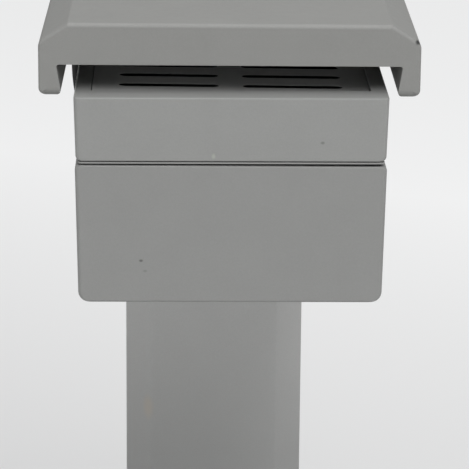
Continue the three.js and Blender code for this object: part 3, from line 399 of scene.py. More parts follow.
@finish("flock_black", Specular_IOR_Level=0.08)
def flock_black(surface):
    """Dead black of the light traps inside the head"""
    shades = ((0.004,) * 3, (0.010,) * 3)
    surface.paint(surface.noise(0.7 * MM, 3.0), shades, 0.9 + 0.08 * surface.noise(1.1 * MM))
    surface.relief(surface.noise(0.4 * MM, 1.0), 0.1 * MM, 0.6)


@finish("black_anodised", Metallic=0.6)
def black_anodised(surface):
    """Matt black aluminium with fine turning marks round the lens barrel"""
    rings = surface.noise(0.25 * MM, 1.0, 0.5, (0.05, 0.05, 1.0))
    shades = ((0.012, 0.012, 0.013), (0.03, 0.03, 0.032))
    surface.paint(rings, shades, 0.36 + 0.16 * surface.noise(3 * MM))
    surface.relief(rings, 0.03 * MM, 0.4)


@finish("foot_rubber", IOR=1.5, Specular_IOR_Level=0.2)
def foot_rubber(surface):
    """Dusty rubber of the feet and the knobs"""
    dust = surface.ramp(surface.noise(5 * MM, 5.0, 0.7), 0.42, 0.72)
    surface.paint(dust, tones("rubber", 1, 2.6), 0.78 + 0.15 * surface.noise(2 * MM))
    surface.relief(surface.noise(0.7 * MM, 3.0), 0.08 * MM, 0.6)


def brushed(name, colour_name, stretch, rough):
    """Metal with marks drawn out along one direction"""

    @finish(name, Metallic=1.0)
    def metal(surface):
        streaks = surface.noise(0.5 * MM, 3.0, 0.6, stretch)
        surface.paint(streaks, tones(colour_name, 0.85, 1.08), rough + 0.16 * streaks)
        surface.relief(streaks, 0.02 * MM, 0.4)

    return metal


drawn_steel = brushed("drawn_steel", "steel", (0.04, 1.0, 1.0), 0.22)
brushed_sheet = brushed("brushed_sheet", "steel", (1.0, 1.0, 0.05), 0.30)
cut_brass = brushed("cut_brass", "brass", (0.1, 1.0, 1.0), 0.24)


@finish("zinc_plate", Metallic=1.0)
def zinc_plate(surface):
    """Zinc plated sheet: cloudy bright and dull patches"""
    bloom = surface.ramp(surface.noise(7 * MM, 4.0, 0.6), 0.35, 0.65)
    surface.paint(bloom, tones("zinc", 0.8, 1.1), 0.30 + 0.22 * bloom)
    surface.relief(surface.noise(1.2 * MM), 0.02 * MM, 0.5)


@finish("clear_glass", IOR=1.5, Transmission_Weight=1.0)
def clear_glass(surface):
    """Clear glass with a trace of dust"""
    dust = surface.ramp(surface.noise(2.5 * MM, 5.0, 0.7), 0.55, 0.85)
    surface.paint(dust, ((0.96, 0.98, 0.975), (0.90, 0.92, 0.91)), 0.015 + 0.12 * dust)


@finish("coated_lens", IOR=1.6, Transmission_Weight=1.0)
def coated_lens(surface):
    """Lens glass with a faint blue-green coating"""
    shades = ((0.90, 0.97, 0.98), (0.94, 0.98, 0.95))
    surface.paint(surface.noise(30 * MM, 1.0), shades, 0.01 + 0.03 * surface.noise(4 * MM, 3.0))


@finish("silvered_glass", Metallic=1.0)
def silvered_glass(surface):
    """Mirror glass with a trace of haze"""
    haze = surface.ramp(surface.noise(6 * MM, 5.0, 0.7), 0.5, 0.85)
    surface.paint(haze, ((0.86, 0.88, 0.88), (0.78, 0.80, 0.80)), 0.02 + 0.12 * haze)


@finish("grooved_mirror", Metallic=1.0)
def grooved_mirror(surface):
    """Fresnel mirror: silvered plastic with fine round grooves about the optical axis"""
    radius = surface.length(surface.vector("SUBTRACT", surface.place(), tuple(middle("stage_glass"))))
    groove = surface.maths("FRACT", radius / (1.1 * MM))
    surface.paint(groove, ((0.60, 0.63, 0.65), (0.80, 0.82, 0.83)), 0.16 + 0.10 * surface.noise(12 * MM))
    surface.relief(groove, 0.05 * MM, 0.7)


@finish("pale_nylon", IOR=1.5, Subsurface_Weight=0.1)
def pale_nylon(surface):
    """Nylon of the guide shoes, the washers and the terminal strip"""
    surface.paint(surface.noise(4 * MM, 3.0), tones("nylon", 0.9, 1), 0.36 + 0.18 * surface.noise(3 * MM))
    surface.relief(surface.noise(0.8 * MM), 0.03 * MM, 0.5)


@finish("unglazed_ceramic", IOR=1.5)
def unglazed_ceramic(surface):
    """Ceramic of the lamp socket and the thermal cutout"""
    tone = surface.noise(1.5 * MM, 4.0, 0.65)
    surface.paint(tone, tones("ceramic", 0.82, 1), 0.62 + 0.2 * tone)
    surface.relief(tone, 0.06 * MM, 0.6)


@finish("enamelled_wire", Metallic=0.8)
def enamelled_wire(surface):
    """Wound copper wire: fine ridges with an amber enamel"""
    ridge = surface.waves("Z", 0.05 / MM)
    surface.paint(ridge, tones("copper", 0.6, 1), 0.28 + 0.15 * surface.noise(2 * MM))
    surface.relief(ridge, 0.3 * MM, 0.8)


@finish("core_laminations", Metallic=0.9)
def core_laminations(surface):
    """Edges of the transformer's stacked steel sheets"""
    sheet = surface.waves("Y", 0.3 / MM)
    shades = ((0.05, 0.052, 0.055), (0.16, 0.165, 0.17))
    surface.paint(sheet, shades, 0.42 + 0.2 * surface.noise(2 * MM, 3.0))
    surface.relief(sheet, 0.1 * MM, 0.6)


@finish("pale_mark", IOR=1.5)
def pale_mark(surface):
    """Printed line on the knobs and the switch"""
    shades = ((0.55, 0.55, 0.53), (0.72, 0.72, 0.70))
    surface.paint(surface.noise(1.0 * MM, 3.0), shades, 0.45 + 0.2 * surface.noise(1.0 * MM))


# Meshes
def to_mesh(name, build):
    """A bmesh as a mesh, with its faces turned outwards"""
    bmesh.ops.recalc_face_normals(build, faces=build.faces)
    mesh = bpy.data.meshes.new(name)
    build.to_mesh(mesh)
    build.free()
    return mesh


def link(name, data):
    """A mesh, a lamp or a camera as an object in the scene"""
    obj = bpy.data.objects.new(name, data)
    bpy.context.scene.collection.objects.link(obj)
    return obj


def smooth(mesh):
    for face in mesh.polygons:
        face.use_smooth = True


def piece(name, build, coat, body, slot, *stands_for):
    """One finished object from a bmesh, riding on its body"""
    obj = link(name, to_mesh(name, build))
    obj.data.materials.append(coat())
    smooth(obj.data)
    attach(obj, body)
    if stands_for:
        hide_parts(*stands_for)
    return obj


def soften(obj, width, segments=2):
    """Rounds the sharp edges and evens out the shading of the flats"""
    bevel = obj.modifiers.new("edges", "BEVEL")
    bevel.width = width
    bevel.segments = segments
    bevel.limit_method = "ANGLE"
    bevel.angle_limit = math.radians(32)
    bevel.miter_outer = "MITER_ARC"
    flats = obj.modifiers.new("flats", "WEIGHTED_NORMAL")
    flats.keep_sharp = True


# Nodes with an opening in a flat: one face can't go all round an opening, so their lines stay
PIERCED = (
    "base_cover", "base_tray", "chassis_plate", "column_cap", "column_plinth", "column_socket", "fan_frame",
    "fuse_holder", "mains_inlet", "mirror_frame", "rear_panel", "stage_frame", "stage_pan", "switch_bezel",
    "terminal_block",
)


def plain(obj):
    """Joins a mesh's seams and clears the lines across its flats"""
    weld = obj.modifiers.new("weld", "WELD")
    weld.merge_threshold = 0.002 * MM
    if obj.name in PIERCED:
        return
    flats = obj.modifiers.new("plain_flats", "DECIMATE")
    flats.decimate_type = "DISSOLVE"
    flats.angle_limit = math.radians(0.6)


def dress(node, coat, width, segments=2):
    """A node whose shape is right: clean flats, a finish, and edges broken by a width in millimetres"""
    obj = NODES[node]
    mesh = obj.data
    mesh.materials.clear()
    mesh.materials.append(coat())
    smooth(mesh)
    if "custom_normal" in mesh.attributes:
        mesh.attributes.remove(mesh.attributes["custom_normal"])
    plain(obj)
    soften(obj, width * MM, segments)


def carve(obj, *cutters):
    """Cuts solids out of an object, and removes them"""
    for build in cutters:
        mesh = to_mesh("cutter", build)
        tool = link("cutter", mesh)
        cut = obj.modifiers.new("cut", "BOOLEAN")
        cut.operation = "DIFFERENCE"
        cut.solver = "EXACT"
        cut.object = tool
        depsgraph = bpy.context.evaluated_depsgraph_get()
        result = bpy.data.meshes.new_from_object(obj.evaluated_get(depsgraph))
        obj.modifiers.clear()
        old = obj.data
        obj.data = result
        result.name = obj.name
        bpy.data.meshes.remove(old)
        bpy.data.objects.remove(tool)
        bpy.data.meshes.remove(mesh)
    smooth(obj.data)


def moved(build, matrix):
    bmesh.ops.transform(build, matrix=matrix, verts=build.verts)
    return build


def loft(rings, closed=False):
    """A skin over rings of equal counts, capped at both ends unless it closes on itself"""
    build = bmesh.new()
    rows = [[build.verts.new(point) for point in ring] for ring in rings]
    pairs = list(zip(rows, rows[1:]))
    if closed:
        pairs.append((rows[-1], rows[0]))
    for lower, upper in pairs:
        for i in range(len(lower)):
            j = (i + 1) % len(lower)
            build.faces.new((lower[i], lower[j], upper[j], upper[i]))
    if not closed:
        build.faces.new(rows[0])
        build.faces.new(rows[-1])
    return build


def around(radius, level, sides):
    """A ring of points about Z"""
    turns = [2 * math.pi * i / sides for i in range(sides)]
    return [Vector((radius * math.cos(turn), radius * math.sin(turn), level)) for turn in turns]


def rounded_ring(width, depth, radius, level, centre, steps=6):
    """A rounded rectangle at one level"""
    points = []
    for across, along, start in ((1, 1, 0), (-1, 1, 90), (-1, -1, 180), (1, -1, 270)):
        for i in range(steps + 1):
            turn = math.radians(start + 90 * i / steps)
            points.append(Vector((
                centre[0] + across * (width / 2 - radius) + radius * math.cos(turn),
                centre[1] + along * (depth / 2 - radius) + radius * math.sin(turn),
                level,
            )))
    return points


# How much the flat top of a round box falls away at its front and back
DOME = 0.9 * MM


def round_box(width, depth, bottom, top, corner, low_edge, high_edge, centre, draft=0.0, brow=0.0, steps=5):
    """An upright rounded box. Each edge has one radius at the sides and one at front and back.

    Draft is how much wider it is at its top than at its bottom. Brow is how far in from the front and back
    the top starts to fall away.
    """

    def inset(height, radius):
        if height >= radius:
            return 0.0
        return radius - math.sqrt(radius ** 2 - (radius - height) ** 2)

    tall = top - bottom
    falls = [1 - math.cos(math.radians(90 * i / steps)) for i in range(steps + 1)]
    heights = {radius * fall for radius in low_edge for fall in falls}
    heights |= {tall - radius * fall for radius in high_edge for fall in falls}
    heights = sorted(round(height, 7) for height in heights)
    rings = []
    for i, height in enumerate(heights):
        if i and height - heights[i - 1] < 0.004 * MM:
            continue
        room = tall - height
        crown = brow * (1 - max(room, 0) / DOME) ** 2 if max(room, 0) < DOME else 0.0
        across = max(inset(height, low_edge[0]), inset(max(room, 0), high_edge[0]))
        along = max(inset(height, low_edge[1]), inset(max(room, 0), high_edge[1]) + crown)
        reach = width + draft * height / tall - 2 * across
        rings.append(rounded_ring(reach, depth - 2 * along, corner, bottom + height, centre))
    return loft(rings)


def slab(low_corner, high_corner):
    """A plain block, used to cut with or as the start of a piece"""
    build = bmesh.new()
    bmesh.ops.create_cube(build, size=1)
    size = Vector(high_corner) - Vector(low_corner)
    place = (Vector(high_corner) + Vector(low_corner)) / 2
    return moved(build, Matrix.Translation(place) @ Matrix.Diagonal((*size, 1)))


def filleted(points, radii, steps=4):
    """An outline with its corners rounded: points are pairs, radii one for each"""
    result = []
    count = len(points)
    for i, radius in enumerate(radii):
        here = Vector(points[i])
        to_last = (Vector(points[i - 1]) - here).normalized()
        to_next = (Vector(points[(i + 1) % count]) - here).normalized()
        if radius <= 0:
            result.append(here)
            continue
        half = to_last.angle(to_next) / 2
        reach = radius / math.tan(half)
        centre = here + (to_last + to_next).normalized() * (radius / math.sin(half))
        first = here + to_last * reach - centre
        last = here + to_next * reach - centre
        sweep = first.angle_signed(last)
        for k in range(steps + 1):
            turn = Matrix.Rotation(-sweep * k / steps, 2)
            result.append(centre + turn @ first)
    return result


X, Y, Z = range(3)


def run(outline, axis, start, end):
    """An outline run along an axis: its pairs are the other two coordinates"""
    return loft([
        [Vector((*pair[:axis], level, *pair[axis:])) for pair in outline] for level in (start, end)
    ])


# Each turns a piece made about Z to point along an axis
AXES = {
    "X": Matrix.Rotation(math.radians(90), 4, "Y"),
    "-X": Matrix.Rotation(math.radians(-90), 4, "Y"),
    "Y": Matrix.Rotation(math.radians(-90), 4, "X"),
    "Z": Matrix.Identity(4),
    "-Z": Matrix.Rotation(math.radians(180), 4, "X"),
}


def turned(profile, place, axis="Z", sides=48):
    """A profile of radius and height pairs, turned about an axis through a place"""
    build = loft([around(radius, height, sides) for radius, height in profile])
    bmesh.ops.remove_doubles(build, verts=build.verts, dist=1e-6)
    return moved(build, Matrix.Translation(place) @ AXES[axis])


def join(*builds):
    """Several meshes as one"""
    whole = bmesh.new()
    for build in builds:
        mesh = to_mesh("joined", build)
        whole.from_mesh(mesh)
        bpy.data.meshes.remove(mesh)
    return whole


def screw(place, axis, head, height):
    """A pan-head screw with a cross recess"""
    profile = [(0, -height), (head, -height), (head, height * 0.35), (head * 0.8, height * 0.8)]
    profile += [(head * 0.42, height), (head * 0.36, height * 0.35), (0, height * 0.25)]
    arms = [
        slab((-head * long, -head * wide, height * 0.4), (head * long, head * wide, height * 0.5))
        for long, wide in ((0.55, 0.1), (0.1, 0.55))
    ]
    build = join(turned(profile, (0, 0, 0), "Z", 24), *arms)
    return moved(build, Matrix.Translation(place) @ AXES[axis])


def screws(name, body, places, axis, head, height, metal=drawn_steel, slot="steel"):
    """Like screws as one piece, the radius and height of their heads in millimetres"""
    piece(name, join(*[screw(place, axis, head * MM, height * MM) for place in places]), metal, body, slot)


# Head
SEAM_TOP = UPPER_BOTTOM - 0.3 * MM
SEAM_GAP = 0.5 * MM
SEAM_STRIP = 0.9 * MM
SEAM_NOTCH = 1.5 * MM
SEAM_INSET = 0.55 * MM
SEAM_SLOPE = 0.0045  # how fast the seam widens to the right, from SEAM_TURN on
SEAM_TURN = -20 * MM
RIM_WALL = 1.2 * MM
RIM_DEPTH = 5 * MM
STRIP_WALL = 2.6 * MM
FLOOR_LEVEL = HEAD_BOTTOM - 0.3 * MM
LOWER_TOP = SEAM_TOP - 2.25 * MM
LOWER_WIDTH = 158.4 * MM
LOWER_DRAFT = 161.2 * MM - LOWER_WIDTH
NECK_HALF = 35.3 * MM
NECK_DROP = 48 * MM
NO_EDGE = (0.0, 0.0)


class PROJECTOR_OT_lower_shell(bpy.types.Operator):
    """Lower shell of the head, with the pale strip that shows in the seam above it"""

    bl_idname = "projector.lower_shell"
    bl_label = "Lower shell"

    def execute(self, context):
        look = edges()
        wall = look.wall
        shell = piece(
            "lower_shell", round_box(
                LOWER_WIDTH, HEAD_DEPTH, FLOOR_LEVEL, LOWER_TOP, look.corner,
                (look.floor_side, look.floor_edge), (look.seam_side, look.seam_edge),
                HEAD_CENTRE, LOWER_DRAFT,
            ), lower_grey, "head", "mid_grey_plastic", "head_lower_shell",
        )
        for vertex in shell.data.vertices:
            if vertex.co.z > LOWER_TOP - 3 * MM:
                vertex.co.z -= SEAM_SLOPE * max(0.0, vertex.co.x - SEAM_TURN)
        inner = round_box(
            LOWER_WIDTH - 2 * wall, HEAD_DEPTH - 2 * wall, HEAD_BOTTOM + wall, LOWER_TOP + wall,
            look.corner, (look.floor_edge, look.floor_edge), NO_EDGE, HEAD_CENTRE, LOWER_DRAFT,
        )
        depth = 4 * wall
        window = half_width("lamp_window") - 3.4 * MM
        barrel = half_width("lens_lower_element") + wall + 0.9 * MM
        holes = []
        for radius, centre in ((window, middle("lamp_window")), (barrel, middle("lens_barrel"))):
            holes.append(turned([(radius, -depth), (radius, depth)], (centre.x, centre.y, HEAD_BOTTOM)))
        neck_low = (COLUMN_X - NECK_HALF, HEAD_BACK - depth, low("neck_casting").z)
        neck_high = (COLUMN_X + NECK_HALF, HEAD_BACK + depth, HEAD_TOP - NECK_DROP)
        carve(shell, inner, *holes, slab(neck_low, neck_high))
        soften(shell, look.fine)

        top = SEAM_TOP - SEAM_GAP
        width = LOWER_WIDTH + LOWER_DRAFT
        inset = 2 * (wall + 0.4 * MM)
        rim = self.frame_ring(width - inset, HEAD_DEPTH - inset, LOWER_TOP - RIM_DEPTH, top, RIM_WALL)
        piece("seam_rim", rim, black_plastic, "head", "black_plastic")
        strip = self.frame_ring(
            width - 2 * SEAM_NOTCH, HEAD_DEPTH - 2 * SEAM_INSET, top - SEAM_STRIP, top, STRIP_WALL
        )
        soften(piece("seam_strip", strip, shell_grey, "head", "pale_grey_plastic"), 0.15 * MM)
        return {"FINISHED"}

    def frame_ring(self, width, depth, bottom, top, wall):
        corner = edges().corner
        rings = []
        for inset, radius, levels in ((0, corner, (bottom, top)), (2 * wall, corner * 0.6, (top, bottom))):
            for level in levels:
                rings.append(rounded_ring(width - inset, depth - inset, radius, level, HEAD_CENTRE))
        return loft(rings, closed=True)


def width_at(node, level):
    """Width of a drafted node near one level"""
    near = [v.co.x for v in NODES[node].data.vertices if abs(v.co.z - level) < 0.5 * MM]
    return max(near) - min(near)


UPPER_WIDTH = width_at("head_upper_shell", UPPER_BOTTOM)
UPPER_DRAFT = 162 * MM - UPPER_WIDTH
UPPER_ROOF = 5.5 * MM
UPPER_BROW = 9 * MM


class PROJECTOR_OT_upper_shell(bpy.types.Operator):
    """Upper shell of the head, recessed for the vent plate and the exit window"""

    bl_idname = "projector.upper_shell"
    bl_label = "Upper shell"

    def execute(self, context):
        look = edges()
        wall = look.wall
        shell = piece(
            "upper_shell", round_box(
                UPPER_WIDTH, HEAD_DEPTH, SEAM_TOP, HEAD_TOP, look.corner, (look.seam_side, look.seam_edge),
                (look.upper_side, look.upper_rim), HEAD_CENTRE, UPPER_DRAFT, UPPER_BROW, steps=9,
            ), shell_grey, "head", "pale_grey_plastic", "head_upper_shell",
        )
        cuts = [round_box(
            UPPER_WIDTH - 2 * wall, HEAD_DEPTH - 2 * wall, UPPER_BOTTOM - wall, HEAD_TOP - UPPER_ROOF,
            look.corner, NO_EDGE, NO_EDGE, HEAD_CENTRE, UPPER_DRAFT,
        )]
        gap = Vector((0.45 * MM, 0.45 * MM, 0))
        ledge = Vector((4 * MM, 4 * MM, 0))
        rise = Vector((0, 0, 8 * MM))
        seat = Vector((0, 0, 1.2 * MM))
        for node in ("vent_plate", "exit_window"):
            start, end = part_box(node)
            cuts.append(slab(start - gap - seat, end + gap + rise))
            cuts.append(slab(start + ledge - rise, end - ledge + rise))
        carve(shell, *cuts)
        soften(shell, 0.3 * MM)
        return {"FINISHED"}


class PROJECTOR_OT_vent_plate(bpy.types.Operator):
    """Slotted vent plate and the glass window behind it"""

    bl_idname = "projector.vent_plate"
    bl_label = "Vent plate and window"

    def execute(self, context):
        start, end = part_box("vent_plate")
        build = bmesh.new()
        build.from_mesh(NODES["vent_plate"].data)
        seat = Vector((0, middle("vent_plate").y, end.z))
        thickness = 0.25 * MM
        thin = Matrix.Diagonal((1, 1, thickness / (end.z - start.z), 1))
        # It lies a little rolled in its recess
        roll = Matrix.Rotation(math.radians(0.65), 4, "Y")
        moved(build, Matrix.Translation(seat) @ roll @ thin @ Matrix.Translation(-seat))
        plate = piece("vent_sheet", build, painted_sheet, "head", "grey_painted_metal", "vent_plate")
        plain(plate)
        soften(plate, 0.06 * MM)
        self.louvres(start, end)
        dress("exit_window", clear_glass, 0.4)
        return {"FINISHED"}

    def louvres(self, start, end):
        """Black blades under the slots, which keep the lamp's light in, between two side walls"""
        count = 9
        lean = 8 * MM
        thin = 0.8 * MM
        top = start.z - 2.6 * MM
        foot = top - 7 * MM
        inset = 6 * MM
        left, right = start.x + inset, end.x - inset
        front, back = start.y + inset, end.y - inset
        pitch = (end.y - start.y - 2 * inset - lean) / (count - 1)
        blades = []
        for i in range(count):
            y = front + i * pitch
            blade = [(y, foot), (y + thin, foot), (y + lean + thin, top), (y + lean, top)]
            blades.append(run(blade, X, left, right))
        for x in (left, right - thin):
            blades.append(run([(front, top), (front, foot), (back, foot), (back, top)], X, x, x + thin))
        piece("vent_louvres", join(*blades), flock_black, "head", "black_plastic")


# The lid stands a little further back than its node and looks the same size to the camera
EYE = Vector((-27.3 * MM, HEAD_FRONT - 1346.2 * MM, HEAD_TOP + 320.2 * MM))
NOSE = LID_FRONT + 13 * MM
FURTHER = (NOSE - EYE.y) / (LID_FRONT - EYE.y)


def sunk(level):
    """A level of the lid, moved away from the camera along its line of sight"""
    return EYE.z + (level - EYE.z) * FURTHER


LIP_LEVEL = HEAD_TOP + 17.6 * MM
LID_SHEET = 3 * MM
LID_SHIFT = 0.36 * MM  # to the right, by play in the hinge
LID_STEPS = 6


class PROJECTOR_OT_lid(bpy.types.Operator):
    """Lid shell with its chamfers, front lip and skirts"""

    bl_idname = "projector.lid"
    bl_label = "Lid"

    def execute(self, context):
        look = edges()
        half = (LID_HALF - LID_SHIFT) * FURTHER
        top = sunk(LID_TOP)
        bottom = sunk(LID_BOTTOM - 0.2 * MM)
        flat = half - 15.1 * MM
        shoulder = top - 9.55 * MM
        outside = filleted(
            [
                (flat, top), (-flat, top), (-half, shoulder),
                (-half, bottom), (half, bottom), (half, shoulder),
            ],
            [look.lid_ridge, look.lid_ridge, look.lid_side, look.lid_foot, look.lid_foot, look.lid_side],
            LID_STEPS,
        )
        build = self.nosed(outside, look.lid_brow, look.lid_cheek, look.lid_toe)
        lid = piece("lid", build, lid_grey, "lid", "pale_grey_plastic", "lid_shell")
        carve(
            lid,
            run(self.room(top - 1.2 * MM), Y, NOSE + LID_SHEET, LID_BACK - LID_SHEET),
            run(self.opening(sunk(LIP_LEVEL)), Y, NOSE - LID_SHEET, LID_BACK + LID_SHEET),
            run(self.opening(LIP_LEVEL), Y, LID_BACK - 3 * LID_SHEET, LID_BACK + LID_SHEET),
        )
        # The same play lets it sit a little turned
        hinge = middle("hinge_pin_left").y
        turn = Matrix.Rotation(math.radians(-0.42), 4, "Z") @ Matrix.Rotation(math.radians(0.08), 4, "Y")
        there = Matrix.Translation((LID_SHIFT, hinge, LID_TOP))
        lid.data.transform(there @ turn @ Matrix.Translation((0, -hinge, -LID_TOP)))
        soften(lid, look.lid_edge, 3)
        return {"FINISHED"}

    def skirts(self):
        """Half the room between the skirts, at their feet and above, and a level under them"""
        return (LID_HALF - 12.1 * MM) * FURTHER, (LID_HALF - 9.4 * MM) * FURTHER, LID_BOTTOM - 5 * MM

    def opening(self, top):
        """The way in between the skirts, up to the edge of the lip"""
        foot, root, bottom = self.skirts()
        level = sunk(LID_BOTTOM - 0.25 * MM)
        flare = foot + 3 * MM
        points = [
            (-flare, bottom), (flare, bottom), (flare, level), (foot, level), (root, top), (-root, top),
            (-foot, level), (-flare, level),
        ]
        return filleted(points, [0, 0, 0, 2.8 * MM, 1.2 * MM, 1.2 * MM, 2.8 * MM, 0])

    def room(self, top):
        """The room inside the lid, up to its roof"""
        foot, root, bottom = self.skirts()
        shoulder = LID_TOP - 12 * MM
        corner = root - 11.7 * MM
        level = sunk(LIP_LEVEL)
        return [
            (-foot, bottom), (foot, bottom), (root, level), (root, shoulder), (corner, top), (-corner, top),
            (-root, shoulder), (-root, level),
        ]

    def nosed(self, outline, above, beside, below):
        """The outline run from front to back with rounded ends: one radius each above, beside and below"""
        insets = []
        for i, point in enumerate(outline):
            along = outline[(i + 1) % len(outline)] - outline[i - 1]
            normal = Vector((along.y, -along.x)).normalized()
            if normal.dot(point - Vector((0, (LID_TOP + LID_BOTTOM) / 2))) < 0:
                normal.negate()
            share = normal.y ** 2
            insets.append((normal, beside + ((above if normal.y > 0 else below) - beside) * share))
        rings = []
        for back, turns in ((False, range(LID_STEPS + 1)), (True, range(LID_STEPS, -1, -1))):
            for k in turns:
                turn = math.radians(90 * k / LID_STEPS)
                ring = []
                for point, (normal, radius) in zip(outline, insets):
                    if back:
                        radius = beside
                    place = point - normal * radius * (1 - math.sin(turn))
                    depth = radius * (1 - math.cos(turn))
                    ring.append(Vector((place.x, LID_BACK - depth if back else NOSE + depth, place.y)))
                rings.append(ring)
        return loft(rings)


class PROJECTOR_OT_lid_mirror(bpy.types.Operator):
    """Mirror under the lid and the frame that holds it"""

    bl_idname = "projector.lid_mirror"
    bl_label = "Lid mirror"

    def execute(self, context):
        dress("lid_mirror", silvered_glass, 0.3)
        dress("mirror_frame", black_plastic, 0.4)
        start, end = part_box("mirror_frame")
        inset = 3.4 * MM
        across = (start.x + inset, end.x - inset)
        along = (start.y + inset, (start.y + end.y) / 2, end.y - inset)
        screws("mirror_frame_screws", "lid", product(across, along, (start.z,)), "-Z", 1.8, 0.9)
        return {"FINISHED"}


class PROJECTOR_OT_hinge(bpy.types.Operator):
    """Hinge brackets, pins and friction washers at the back of the head"""

    bl_idname = "projector.hinge"
    bl_label = "Lid hinge"

    def execute(self, context):
        places = []
        for side in ("left", "right"):
            bracket = f"hinge_bracket_{side}"
            dress(bracket, brushed_sheet, 0.4)
            dress(f"hinge_pin_{side}", drawn_steel, 0.4)
            dress(f"friction_washer_{side}", pale_nylon, 0.3)
            start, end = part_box(bracket)
            x = start.x + 5.5 * MM if side == "left" else end.x - 5.5 * MM
            places += product((x,), (start.y + 5 * MM, start.y + 14 * MM), (start.z + 2.5 * MM,))
        screws("hinge_screws", "head", places, "Z", 2.3, 1.1)
        return {"FINISHED"}


class PROJECTOR_OT_chassis(bpy.types.Operator):
    """Chassis plate, thermal cutout and terminal strip inside the head"""

    bl_idname = "projector.chassis"
    bl_label = "Chassis"

    def execute(self, context):
        dress("chassis_plate", zinc_plate, 0.4)
        dress("thermal_cutout", unglazed_ceramic, 0.6)
        dress("terminal_block", pale_nylon, 0.4)
        start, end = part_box("terminal_block")
        ways = 5
        pitch = (end.x - start.x) / ways
        places = [(start.x + (i + 0.5) * pitch, (start.y + end.y) / 2, end.z) for i in range(ways)]
        screws("terminal_screws", "head", places, "Z", 1.7, 0.8, cut_brass, "brass")
        return {"FINISHED"}


class PROJECTOR_OT_lens(bpy.types.Operator):
    """Projection lens: barrel, two elements and the retaining ring"""

    bl_idname = "projector.lens"
    bl_label = "Projection lens"

    def execute(self, context):
        dress("lens_barrel", black_anodised, 0.4)
        dress("lens_retaining_ring", black_anodised, 0.3)
        edge = 4 * MM
        bevel = 0.3 * MM
        steps = 12
        for node in ("lens_lower_element", "lens_upper_element"):
            start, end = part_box(node)
            centre = (start + end) / 2
            radius = half_width(node)
            rim = start.z + edge
            profile = [(0, start.z), (radius - bevel, start.z), (radius, start.z + bevel), (radius, rim)]
            for i in range(1, steps + 1):
                turn = math.radians(90 * i / steps)
                profile.append((radius * math.cos(turn), rim + (end.z - start.z - edge) * math.sin(turn)))
            glass = turned(profile, (centre.x, centre.y, 0), "Z", 64)
            piece(f"{node}_glass", glass, coated_lens, "head", "clear_glass", node)
        return {"FINISHED"}


class PROJECTOR_OT_lamp(bpy.types.Operator):
    """Lamp with its filament, its socket, reflector, condenser and window"""

    bl_idname = "projector.lamp"
    bl_label = "Lamp"

    def execute(self, context):
        start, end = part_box("lamp_bulb")
        centre = (start + end) / 2
        radius = (end.z - start.z) / 2
        length = end.x - start.x
        profile = [(0, 0), (1.5 * MM, 0.2 * MM), (3.0 * MM, 1.2 * MM), (3.4 * MM, 3.4 * MM)]
        profile += [(radius * 0.9, 6.5 * MM), (radius, 9 * MM), (radius, length - 10 * MM)]
        profile += [(radius * 0.96, length - 9 * MM), (radius * 0.8, length - 6 * MM)]
        profile += [(radius * 0.8, length), (0, length)]
        bulb = turned(profile, (start.x, centre.y, centre.z), "X", 40)
        piece("lamp_capsule", bulb, clear_glass, "head", "clear_glass", "lamp_bulb")
        self.filament(centre)
        dress("lamp_socket", unglazed_ceramic, 0.8)
        dress("lamp_bracket", zinc_plate, 0.3)
        dress("lamp_reflector", silvered_glass, 0.2)
        dress("lamp_window", clear_glass, 0.3)
        dress("condenser_ring", zinc_plate, 0.3)
        dress("condenser_lens", coated_lens, 0.2)
        return {"FINISHED"}

    def filament(self, centre):
        """A small coil between its two supports"""
        turns = 9
        steps = 14
        span = 12 * MM
        coil = 1.6 * MM
        wire = 0.25 * MM
        rings = []
        for i in range(turns * steps + 1):
            turn = 2 * math.pi * i / steps
            along = centre.x - span / 2 + span * i / (turns * steps)
            hub = Vector((along, centre.y + coil * math.cos(turn), centre.z + coil * math.sin(turn)))
            out = Vector((0, math.cos(turn), math.sin(turn)))
            side = Vector((1, 0, 0))
            rings.append([
                hub + wire * (out * math.cos(a) + side * math.sin(a))
                for a in (math.radians(90 * k) for k in range(4))
            ])
        piece("lamp_filament", loft(rings), drawn_steel, "head", "steel")


class PROJECTOR_OT_fan(bpy.types.Operator):
    """Cooling fan: frame and impeller"""

    bl_idname = "projector.fan"
    bl_label = "Fan"

    def execute(self, context):
        dress("fan_frame", black_plastic, 0.5)
        dress("fan_impeller", black_plastic, 0.3)
        return {"FINISHED"}


